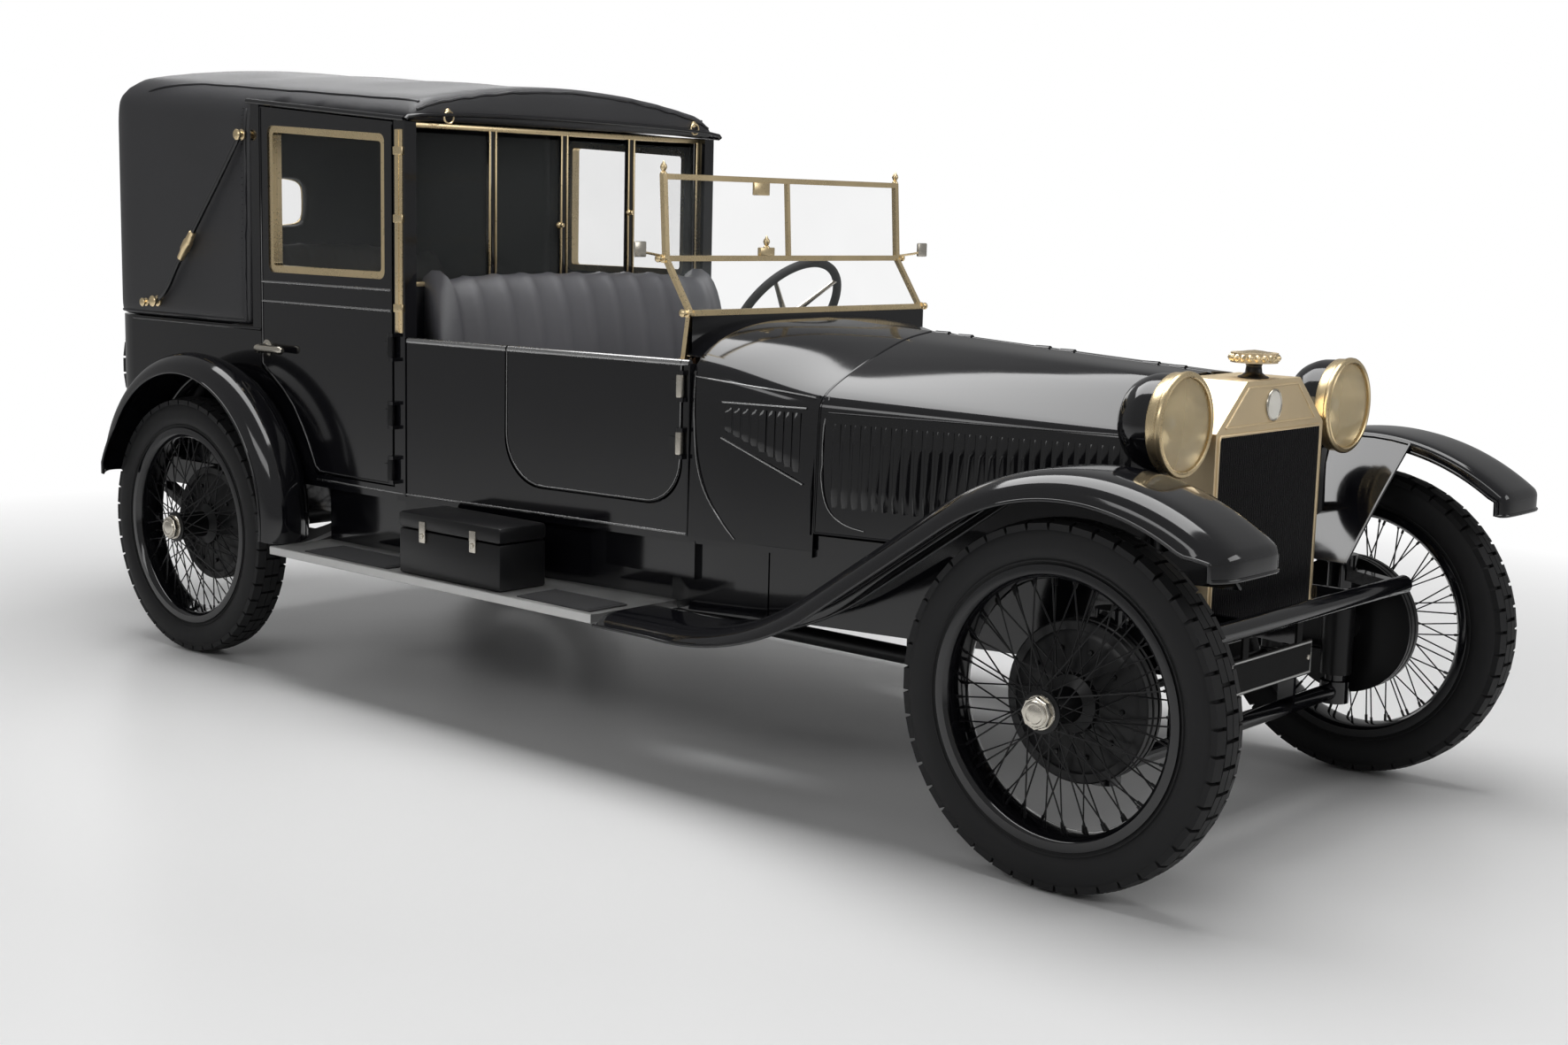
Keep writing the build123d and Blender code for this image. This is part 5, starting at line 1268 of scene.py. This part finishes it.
# Profile of the cap as (height, radius, share of the wave)
CAP = [(0.033, 0.010, 0), (0.034, 0.040, 0), (0.038, 0.052, 1), (0.045, 0.056, 1), (0.052, 0.052, 1),
       (0.056, 0.040, 0.4), (0.060, 0.018, 0), (0.062, 0.0, 0)]
SCALLOPS, SCALLOP_DEPTH = 20, 0.055
rows = []
for height, radius, wave in CAP:
    waved = [(t, radius * (1 + SCALLOP_DEPTH * wave * cos(SCALLOPS * t))) for t in angles(160)]
    rows.append([cap_spot + Vector((r * cos(t), r * sin(t), height)) for t, r in waved])
dress("filler_cap", skin(rows, around=True), "car", brass, 50)
print("core tubes:", CORE_TUBES)

# %% [markdown]
# ## Doors, beads and rails
# The panels are plain CAD sheets. What makes them read as coachwork is the thin half-round bead
# along each door edge and the rails at the belt, because they catch the light. Each bead is a fine
# tube that lies on the panel, and it rides on the door that it edges.

# %% Lines on the body side
SIDE_LINE = [(0.0, 0.244), (0.870, 0.440), (1.222, 0.505), (2.240, 0.600), (3.715, 0.600)]
DOOR_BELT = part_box("driver_body")[1].z


def on_side(points, proud=0.0012):
    """Points (distance back, height) laid on the body's left side."""
    return [at(back, between(SIDE_LINE, back) + proud, z) for back, z in points]


def corner(middle, radius, start, stop, count=8):
    """Points round a corner, as (distance back, height), between two angles in degrees."""
    turns = [radians(start + (stop - start) * i / count) for i in range(count + 1)]
    return [(middle[0] + radius * cos(t), middle[1] + radius * sin(t)) for t in turns]


print("belt at", round(DOOR_BELT, 4))

# %% Beads of the doors
DOOR_FRONT, DOOR_BACK = 1.249, 1.830
DOOR_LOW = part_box("front_door_left")[0].z
BAND = (1.118, 1.062)
front_edge = [(DOOR_BACK - 0.003, DOOR_BELT)]
front_edge += corner((DOOR_BACK - 0.133, DOOR_LOW + 0.133), 0.130, 0, -90)
front_edge += corner((DOOR_FRONT + 0.110, DOOR_LOW + 0.113), 0.110, -90, -180) + [(DOOR_FRONT, DOOR_BELT)]
front_bead = tube(on_side(front_edge, 0.0006), 0.0020, 6)
front_rail = tube(on_side([(1.250, DOOR_BELT), (1.540, DOOR_BELT), (1.826, DOOR_BELT)], -0.006), 0.0095, 10)
rear_edge = [(2.254, 1.560), (2.254, 0.590), (2.585, 0.590), (2.606, 0.603), (2.641, 0.672), (2.668, 0.714),
             (2.710, 0.768), (2.757, 0.811), (2.822, 0.856), (2.856, 0.882), (2.856, 1.612)]
rear_bead = tube(on_side(rear_edge, 0.0004), 0.0028, 6)
rear_band = joined(*[tube(on_side([(2.256, z), (2.854, z)], 0.0010), 0.0042, 8) for z in BAND])
print("points on the beads:", len(front_edge), "and", len(rear_edge))

# %% [markdown]
# The front doors hang on two plated hinges each, and the rear doors on three black ones. Only the
# barrel of a hinge shows, which is a turned form with its ends rounded off. The handle is a lever on
# a turned boss. Each of these is made once, on the left, and mirrored.

# %% Hinges and handles


def hinge_barrels(back, heights):
    """Covers of the hinge barrels at a door's front edge, each with a turned end."""
    place = between(SIDE_LINE, back) + 0.010
    profile = [(-0.0275, 0), (-0.0275, 0.0098), (-0.022, 0.0104), (0.022, 0.0104), (0.0275, 0.0098),
               (0.0275, 0)]
    return joined(*[lathe(profile, at(back, place, z), (0, 0, 1), 16) for z in heights])


front_hinges = hinge_barrels(1.243, (0.930, 0.790))
rear_hinges = hinge_barrels(2.248, (0.965, 0.780, 0.630))
HANDLE_SPOT = at(2.835, 0.600, 0.926)
lever = tube([HANDLE_SPOT + Vector((x, y, 0)) for x, y in
              ((-0.010, 0.028), (0.010, 0.0285), (0.040, 0.0280), (0.080, 0.0280), (0.104, 0.0280),
               (0.114, 0.0280))], [0.012, 0.0125, 0.0118, 0.0116, 0.0122, 0.006], 16)
boss = lathe([(-0.001, 0.0), (-0.001, 0.024), (0.002, 0.0245), (0.004, 0.020), (0.006, 0.0145),
              (0.016, 0.0128), (0.030, 0.0135), (0.0345, 0.0115), (0.0355, 0)], HANDLE_SPOT, (0, 1, 0), 24)
handle = joined(boss, lever)
print("handle at", in_mm(HANDLE_SPOT))

# %% Dress the doors
# Start of the name, mesh, door, finish, slot and the angle past which an edge is sharp
DOOR_PIECES = [
    ("front_door_bead_", joined(front_bead, front_rail), "_front_door", bright_bead, "nickel", 60),
    ("rear_door_bead_", rear_bead, "_rear_door", coach_paint, "black_paint", 60),
    ("rear_door_band_", rear_band, "_rear_door", bright_bead, "nickel", 60),
    ("front_door_hinges_", front_hinges, "_front_door", nickel, "nickel", 40),
    ("rear_door_hinges_", rear_hinges, "_rear_door", chassis_black, "black_paint", 40),
    ("door_handle_", handle, "_rear_door", nickel, "nickel", 40),
]
for side, place in (("left", Matrix.Identity(4)), ("right", MIRROR)):
    for name, mesh, door, finish, slot, crease in DOOR_PIECES:
        dress(name + side, moved(mesh, place), side + door, finish, crease)
print("pieces on the doors of a side:", len(DOOR_PIECES))

# %% [markdown]
# The body between the doors has the same rails and beads, so that the lines run on without a break.
# They ride on the car. A small valance closes the gap behind the front fender.

# %% Rails of the body
belt_rails = [tube(on_side(line, -0.006), 0.0095, 10) for line in
              ([(1.832, DOOR_BELT), (2.010, DOOR_BELT), (2.196, DOOR_BELT)],
               [(1.226, DOOR_BELT), (1.248, DOOR_BELT)])]
sill = tube(on_side([(1.226, 0.566), (1.70, 0.566), (2.24, 0.566), (2.60, 0.566)], 0.0), 0.0032, 8)
seam = tube(on_side([(1.224, 0.565), (1.224, 0.975)], 0.0004), 0.0028, 6)
quarter_rail = tube(on_side([(2.862, 0.978), (3.10, 0.978), (3.40, 0.978), (3.545, 0.978)], 0.0006),
                    0.0042, 8)
pillar_bead = tube(on_side([(2.203, 0.565), (2.203, 1.560)], 0.0002), 0.0032, 6)
valance = walled(skin([[at(back, y, z) for z in (0.560, 0.46, 0.374)] for back, y in
                       ((1.000, 0.4515), (1.222, 0.4915), (1.262, 0.4840), (1.300, 0.4790))]), SHEET)
dress("body_trim", pair(joined(seam, quarter_rail, pillar_bead, valance)), "car", coach_paint,
      60)
dress("body_beads", pair(joined(*belt_rails, sill)), "car", bright_bead, 60)
print("rails:", len(belt_rails) + 1, "on each side")

# %% [markdown]
# ## Division, posts and windscreen
# Behind the driver a glazed division closes the cabin. Its rails are brass, and its upright stiles
# are black with a fine brass line on each side. A brass post stands at each front corner of the
# cabin, and two rings hang from the head for the driver's own cover. All of these are straight, so
# a brick with its edges rounded off makes each one.

# %% Division behind the driver
rail_low, rail_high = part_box("division_frame")
HALF_DIVISION = rail_high.y
STILES = (-0.270, 0.0, 0.270)
rails = [brick((rail_low.x - 0.001, -HALF_DIVISION, low), (rail_high.x + 0.002, HALF_DIVISION, high), 0.003)
         for low, high in ((rail_low.z, rail_low.z + 0.014), (rail_high.z - 0.016, rail_high.z))]
thin_lines = [brick((rail_high.x - 0.002, y + s * 0.011 - 0.003, rail_low.z + 0.010),
                    (rail_high.x + 0.003, y + s * 0.011 + 0.003, rail_high.z - 0.012), 0.0012)
              for y in STILES for s in (-1, 1)]
edge_lines = [brick((rail_high.x - 0.002, s * (HALF_DIVISION - 0.012), rail_low.z + 0.010),
                    (rail_high.x + 0.003, s * HALF_DIVISION, rail_high.z - 0.012), 0.002) for s in (-1, 1)]
knobs = [lathe([(0, 0), (0, 0.010), (0.004, 0.009), (0.009, 0.005), (0.014, 0.007), (0.018, 0.006),
                (0.020, 0)], (rail_high.x + 0.001, y, z), (1, 0, 0), 16)
         for y, z in ((-0.02, 1.30), (0.26, 1.34))]
dress("division_rails", joined(*rails, *thin_lines, *edge_lines, *knobs), "car", brass, 40,
      ["division_frame"])
stiles = [brick((rail_low.x, y - 0.011, rail_low.z + 0.012), (rail_high.x, y + 0.011, rail_high.z - 0.014),
                0.002) for y in STILES]
stiles += [brick((rail_low.x, s * (HALF_DIVISION - 0.022), rail_low.z + 0.012),
                 (rail_high.x, s * (HALF_DIVISION - 0.010), rail_high.z - 0.014), 0.002) for s in (-1, 1)]
dress("division_stiles", joined(*stiles), "car", coach_paint, 40)
print("stiles:", len(stiles))

# %% Corner posts and lashing rings
post = brick(at(2.208, 0.590, 1.004), at(2.240, 0.6035, 1.548), 0.003)
post_line = brick(at(2.220, 0.600, 1.006), at(2.226, 0.6055, 1.546), 0.001)
catches = [brick(at(2.205, 0.598, z), at(2.243, 0.606, z + 0.022), 0.002) for z in (1.060, 1.300, 1.480)]
dress("corner_posts", pair(joined(post, post_line, *catches)), "car", brass, 40)
HEAD_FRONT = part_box("leather_head")[1].x


def lashing_ring(y, z):
    """A ring that hangs from a small rose at the front of the head."""
    rose = lathe([(-0.02, 0), (-0.02, 0.009), (0.001, 0.010), (0.004, 0.006), (0.004, 0)],
                 (HEAD_FRONT, y, z + 0.014), (1, 0, 0), 16)
    ring = tube([(HEAD_FRONT + 0.004, y + 0.016 * sin(t), z + 0.016 * cos(t)) for t in angles(28)],
                0.0028, 8, True)
    return joined(rose, ring)


dress("lashing_rings", joined(lashing_ring(-0.464, 1.584), lashing_ring(0.494, 1.596)), "car", brass,
      40)
print("head's front at", round(HEAD_FRONT, 4))

# %% [markdown]
# The windscreen's frame is CAD. Its fittings are small turned pieces: a finial on each post, wing
# nuts at the pivots, a catch in the middle, and a thin arm on each side that holds a mirror.

# %% Windscreen fittings
FINIAL = [(0, 0), (0, 0.0085), (0.004, 0.0080), (0.007, 0.0045), (0.010, 0.0065), (0.016, 0.0090),
          (0.022, 0.0075), (0.027, 0.0035), (0.031, 0.0025), (0.033, 0)]
NUT = [(0, 0), (0, 0.011), (0.006, 0.011), (0.008, 0.0065), (0.016, 0.006), (0.018, 0.0095),
       (0.023, 0.0095), (0.026, 0.006), (0.027, 0)]
screen_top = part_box("windscreen_frame")[1].z
fittings = [lathe(FINIAL, at(1.369, s * 0.458, screen_top - 0.001), (0, 0, 1), 20) for s in (1, -1)]
fittings += [lathe(NUT, at(back, s * 0.464, z), (0, s, 0), 20)
             for back, z in ((1.357, 1.234), (1.271, 1.104)) for s in (1, -1)]
fittings += [brick(at(1.359, -0.135, 1.395), at(1.367, -0.075, 1.428), 0.002),
             brick(at(1.345, -0.120, 1.241), at(1.358, -0.066, 1.262), 0.002),
             lathe(FINIAL, at(1.351, -0.093, 1.260), (0, 0, 1), 16)]
fittings += [tube([at(1.357, s * 0.470, 1.240), at(1.345, s * 0.520, 1.246), at(1.345, s * 0.552, 1.250)],
                  0.0032, 8) for s in (-1, 1)]
dress("windscreen_fittings", joined(*fittings), "car", brass, 40)
mirrors = [brick(at(1.349, y - 0.020, 1.238), at(1.341, y + 0.020, 1.276), 0.003) for y in (-0.560, 0.560)]
dress("side_mirrors", joined(*mirrors), "car", nickel, 40)
print("fittings:", len(fittings))

# %% [markdown]
# ## Seats
# The seats are sprung leather benches with sewn flutes. A pad is drawn as a side outline and carried
# across the car. Each flute swells between its two seams, and the ends turn in, as a stuffed cover
# does. The backs fall away at their upper corners.

# %% A fluted pad
FLUTE_STEPS, SWELL, TURNED_IN = 8, 0.022, 0.034
print("strips across a pad of 12 flutes:", 12 * FLUTE_STEPS)


def pad(corners, half, flutes, drop):
    """A stuffed bench pad from (distance back, height) corners, with flutes that run down it."""
    line = eased(corners, 3, True)
    count = len(line)
    bottom, top = min(z for _, z in line), max(z for _, z in line)
    rows = []
    steps = flutes * FLUTE_STEPS
    for j in range(steps + 1):
        y = half * (2 * j / steps - 1)
        over = max(0.0, (abs(y) - (half - TURNED_IN)) / TURNED_IN)
        inward = TURNED_IN * (1 - max(0.0, 1 - over * over) ** 0.5) * 0.8
        bulge = SWELL * abs(sin(pi * flutes * (y + half) / (2 * half))) ** 0.55
        row = []
        for i, (s, z) in enumerate(line):
            (a, b), (c, d) = line[i - 1], line[(i + 1) % count]
            normal = Vector((d - b, 0, a - c)).normalized()
            shows = 0.25 + 0.75 * max(0.0, -normal.x * 0.7 + normal.z * 0.7)
            move = bulge * shows - SWELL - inward
            fall = drop * (abs(y) / half) ** 4 * (z - bottom) / (top - bottom)
            row.append(at(s + normal.x * move, y, z + normal.z * move - fall))
        rows.append(row)
    return skin(rows, around=True, ends=True)

# %% Four pads


def bench_pad(name, corners, half, flutes, drop=0.0, cover=seat_leather, stands_for=()):
    """A fluted pad, dressed, with the CAD nodes that it stands for hidden."""
    piece = dress(name, pad(corners, half, flutes, drop), "car", cover, 180)
    if stands_for:
        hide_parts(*stands_for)
    return piece


pads = [
    bench_pad("front_cushion", [(1.698, 0.728), (1.698, 0.884), (2.082, 0.884), (2.082, 0.728)], 0.506, 12,
              stands_for=["seat_cushions"]),
    bench_pad("rear_cushion", [(2.998, 0.738), (2.998, 0.894), (3.422, 0.894), (3.422, 0.738)], 0.528, 12,
              cover=rear_cloth),
    bench_pad("front_backrest", [(2.072, 0.720), (2.122, 1.146), (2.232, 1.146), (2.184, 0.720)], 0.512, 10,
              0.020, stands_for=["seat_backs"]),
    bench_pad("rear_backrest", [(3.406, 0.736), (3.452, 1.190), (3.572, 1.190), (3.520, 0.736)], 0.532, 12,
              0.05, cover=rear_cloth),
]
print("pad faces:", sum(len(piece.data.polygons) for piece in pads))

# %% Arm rolls


def roll(name, path, radius):
    """A stuffed roll along a path, with sewn ends."""
    line = rounded(path, 2)
    count = len(line)
    radii = [radius * (1 - (2 * i / (count - 1) - 1) ** 8) ** 0.5 + 0.001 for i in range(count)]
    piece = dress(name, tube(line, radii, 16), "car", seat_leather, 180)
    return count


for s, side in ((1, "left"), (-1, "right")):
    rings = roll("arm_roll_" + side, [at(3.03, s * 0.505, 0.955), at(3.25, s * 0.505, 0.965),
                                      at(3.40, s * 0.500, 0.990), at(3.46, s * 0.495, 1.060)], 0.042)
    print("arm roll", side, "has", rings, "rings")

# %% [markdown]
# ## Controls
# The steering wheel has a dark rim on four plated spokes and turns with its own body. Two levers
# with round knobs stand beside the driver. The dials are guessed from cars of this kind and are
# plain white faces in brass rims.

# %% Steering wheel
WHEEL_MIDDLE = at(1.600, 0.270, 1.060)
WHEEL_TILT, WHEEL_RADIUS = radians(33.7), 0.188
WHEEL_AXIS = Vector((-cos(WHEEL_TILT), 0, sin(WHEEL_TILT)))
across = Vector((0, 1, 0))
upwards = WHEEL_AXIS.cross(across)
rim = tube([WHEEL_MIDDLE + (across * cos(t) + upwards * sin(t)) * WHEEL_RADIUS for t in angles(72)],
           0.0124, 14, True)
dress("steering_rim", rim, "hand_wheel", mat_rubber, 60, ["steering_wheel"])
hub = lathe([(-0.026, 0), (-0.026, 0.024), (-0.008, 0.028), (0.002, 0.029), (0.006, 0.024), (0.010, 0.018),
             (0.016, 0.017), (0.018, 0.014), (0.0185, 0)], WHEEL_MIDDLE, WHEEL_AXIS, 32)
arms = [tube([WHEEL_MIDDLE - WHEEL_AXIS * 0.004 + (across * cos(t) + upwards * sin(t)) * r
              for r in (0.02, 0.10, 0.180)], [0.0095, 0.0075, 0.0062], 10)
        for t in (pi / 4 + pi / 2 * i for i in range(4))]
dress("steering_spokes", joined(hub, *arms), "hand_wheel", nickel, 50)
print("steering wheel at", in_mm(WHEEL_MIDDLE))

# %% Levers
LEVER_BACK, LEVER_FOOT = 1.600, 0.560
stems, knobs = [], []
for y, tilt, top in ((0.0, 0.060, 0.880), (-0.070, 0.020, 0.820)):
    stems.append(tube([at(LEVER_BACK, y, LEVER_FOOT), at(LEVER_BACK, y, 0.575), at(1.602, y, 0.600),
                       at(LEVER_BACK + tilt * 0.5, y, (0.6 + top) / 2), at(LEVER_BACK + tilt, y, top)],
                      [0.020, 0.019, 0.010, 0.009, 0.0085], 14))
    knobs.append(lathe([(-0.020, 0), (-0.019, 0.009), (-0.012, 0.017), (0.0, 0.021), (0.012, 0.0175),
                        (0.019, 0.009), (0.021, 0)], at(LEVER_BACK + tilt, y, top + 0.010), (0, 0, 1), 24))
dress("lever_stems", joined(*stems), "car", nickel, 40, ["control_levers"])
dress("lever_knobs", joined(*knobs), "car", mat_rubber, 60)
print("levers:", len(stems))

# %% Dials
dials, rims = [], []
for y in (-0.060, 0.060):
    place = at(1.297, y, 1.000)
    rims.append(lathe([(-0.002, 0.0425), (0.004, 0.0425), (0.006, 0.040), (0.004, 0.036), (0.0, 0.036)],
                      place, (-1, 0, 0), 40))
    rims.append(tube([place + Vector((-0.004, 0, -0.008)), place + Vector((-0.004, 0.016, 0.020))],
                     0.0014, 6))
    dials.append(lathe([(0.0015, 0.037), (0.002, 0.030), (0.002, 0)], place, (-1, 0, 0), 40))
dress("dial_rims", joined(*rims), "car", brass, 40)
dress("dial_faces", joined(*dials), "car", white_enamel, 40)
print("dials:", len(dials))

# %% [markdown]
# ## Boards, boxes and plate
# The running boards are brushed metal with a rolled bright edge and ribbed rubber mats. The ribs
# are the second node tree again. The number plate is a blank black sheet with a thin pale border.

# %% Edges and mats of the running boards
board_low, board_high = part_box("running_boards")
EDGE_SECTION = [(-0.016, 0.0012), (0.0005, 0.0014), (0.0022, -0.0006), (0.0022, -0.0200), (0.0004, -0.0216)]
edge = walled(skin([[Vector((x, board_high.y + dy, BOARD_TOP + dz)) for x in (board_high.x, board_low.x)]
                    for dy, dz in EDGE_SECTION]), 0.001)
dress("board_edges", pair(edge), "car", aluminium, 40)
MAT_RIBS = 26
mats = []
for front, back in ((1.300, 1.560), (2.080, 2.440)):
    mats.append(brick(at(front, 0.630, BOARD_TOP + 0.0002), at(back, 0.760, BOARD_TOP + 0.0052), 0.0015))
    half_rib = (back - front) / 2 - 0.006
    rib = tube([(-half_rib, 0, 0), (half_rib, 0, 0)], 0.0017, 6)
    mats.append(copies_at([(at((front + back) / 2, 0.636 + 0.118 * i / (MAT_RIBS - 1), BOARD_TOP + 0.0053),
                            (0, 0, 0), WHOLE) for i in range(MAT_RIBS)], rib, mat_rubber))
dress("ribbed_mats", pair(joined(*mats)), "car", mat_rubber, 40, ["step_mats"])
print("ribs on a mat:", MAT_RIBS)

# %% Tool boxes
BOX_FRONT, BOX_BACK = 1.630, 2.030
BOX_INNER, BOX_OUTER, LID = 0.600, 0.755, 0.512
HASPS = (1.73, 1.93)
box_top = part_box("tool_boxes")[1].z
case = brick(at(BOX_FRONT, BOX_INNER, BOARD_TOP + 0.001), at(BOX_BACK, BOX_OUTER, LID), 0.006)
lid = brick(at(BOX_FRONT - 0.003, BOX_INNER - 0.001, LID + 0.002),
            at(BOX_BACK + 0.003, BOX_OUTER + 0.003, box_top), 0.010)
dress("tool_box_shells", pair(joined(case, lid)), "car", chassis_black, 40, ["tool_boxes"])
hasps = [brick(at(s - 0.012, BOX_OUTER, LID - 0.030), at(s + 0.012, BOX_OUTER + 0.006, LID + 0.026), 0.002)
         for s in HASPS]
hasps += [lathe([(0, 0), (0, 0.007), (0.004, 0.007), (0.006, 0.005), (0.006, 0)],
                at(s, BOX_OUTER + 0.005, LID - 0.012), (0, 1, 0), 12) for s in HASPS]
dress("tool_box_hasps", pair(joined(*hasps)), "car", nickel, 40)
print("box top at", round(box_top, 4))

# %% Number plate
plate_low, plate_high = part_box("number_plate")
PLATE_TOP, BORDER_INSET = 0.448, 0.005
left, right = plate_high.y - BORDER_INSET, plate_low.y + BORDER_INSET
border_low, border_high = plate_low.z + BORDER_INSET, PLATE_TOP - BORDER_INSET
border = [Vector((plate_high.x, y, z)) for y, z in
          ((right, border_low), (left, border_low), (left, border_high), (right, border_high))]
dress("plate_border", tube(border, 0.0030, 6, True), "car", aluminium, 40)
screws = [lathe([(0, 0), (0, 0.0065), (0.002, 0.006), (0.003, 0.003), (0.003, 0)],
                (plate_high.x, y, 0.409), (1, 0, 0), 12) for y in (-0.305, 0.025)]
dress("plate_screws", joined(*screws), "car", nickel, 40)
print("plate", round(left - right, 3), "by", round(border_high - border_low, 3), "m inside its border")

# %% [markdown]
# ## What stays CAD
# The nodes that still show take their finish from their slot. A few differ from the other pieces of
# their slot, so they are named one by one.

# %% Finishes of the CAD nodes
BY_SLOT = {"black_paint": coach_paint, "brass": brass, "nickel": nickel, "black_steel": chassis_black,
           "cast_iron": cast_grey, "aluminium": aluminium, "leather": seat_leather, "tyre": tyre_rubber,
           "rubber": mat_rubber, "wood": dark_wood, "black_plastic": chassis_black, "glass": window_glass}
BY_NODE = {"radiator_shell": pale_gold, "radiator_core": chassis_black, "number_plate": plate_black,
           "seat_boxes": seat_leather, "division_panel": coach_paint, "running_boards": aluminium,
           "front_frame": coach_paint}
for part in frame["record"]["subparts"]:
    node = frame["nodes"][part["node"]]
    node.data.materials.clear()
    node.data.materials.append(BY_NODE.get(part["node"], BY_SLOT[part["material_slot"]]))

# %% [markdown]
# ## The floor, and the end
# The floor is a pale sheet that is part of the stage: it keeps the shadow near the car and turns
# pure white further out, where a glow that only the camera, the glass and a little of the polish
# see takes over.

# %% Floor finish
FLOOR_GLOSSY_SHARE = 0.10
floor_finish = Finish("floor_white", Specular_IOR_Level=0.35)
away = floor_finish.node("VectorMath", {"operation": "LENGTH"}, {0: floor_finish.place}, 1)
floor_finish.wear("Base Color", floor_finish.tint(floor_finish.noise(0.8), (0.80, 0.80, 0.80),
                                                  (0.84, 0.84, 0.84)))
floor_finish.wear("Roughness", floor_finish.noise(2.0) * 0.1 + 0.32)
glow = floor_finish.tree.nodes.new("ShaderNodeEmission")
glow.inputs["Color"].default_value = (1, 1, 1, 1)
paths = floor_finish.tree.nodes.new("ShaderNodeLightPath")
camera_ray, glossy_ray, glass_ray = [Value(floor_finish, paths.outputs[label]) for label in
                                     ("Is Camera Ray", "Is Glossy Ray", "Is Transmission Ray")]
seen = camera_ray + glossy_ray * FLOOR_GLOSSY_SHARE + glass_ray
share = floor_finish.ramp(away * 0.1, 0.22, 0.46)
fade = floor_finish.tree.nodes.new("ShaderNodeMixShader")
surface = floor_finish.tree.nodes["Material Output"].inputs["Surface"]
for start, end in (((share * seen).socket, fade.inputs["Fac"]),
                   (floor_finish.shader.outputs[0], fade.inputs[1]), (glow.outputs[0], fade.inputs[2]),
                   (fade.outputs[0], surface)):
    floor_finish.tree.links.new(start, end)
print("floor nodes:", len(floor_finish.tree.nodes))

# %% Floor
FLOOR = 30
floor_mesh = mesh_of([(-FLOOR, -FLOOR, 0), (FLOOR, -FLOOR, 0), (FLOOR, FLOOR, 0), (-FLOOR, FLOOR, 0)],
                     [(0, 1, 2, 3)])
floor_mesh.materials.append(floor_finish.material)
floor = bpy.data.objects.new("floor", floor_mesh)
bpy.context.scene.collection.objects.link(floor)
floor.location.z = -0.0005
print("floor:", 2 * FLOOR, "m square")
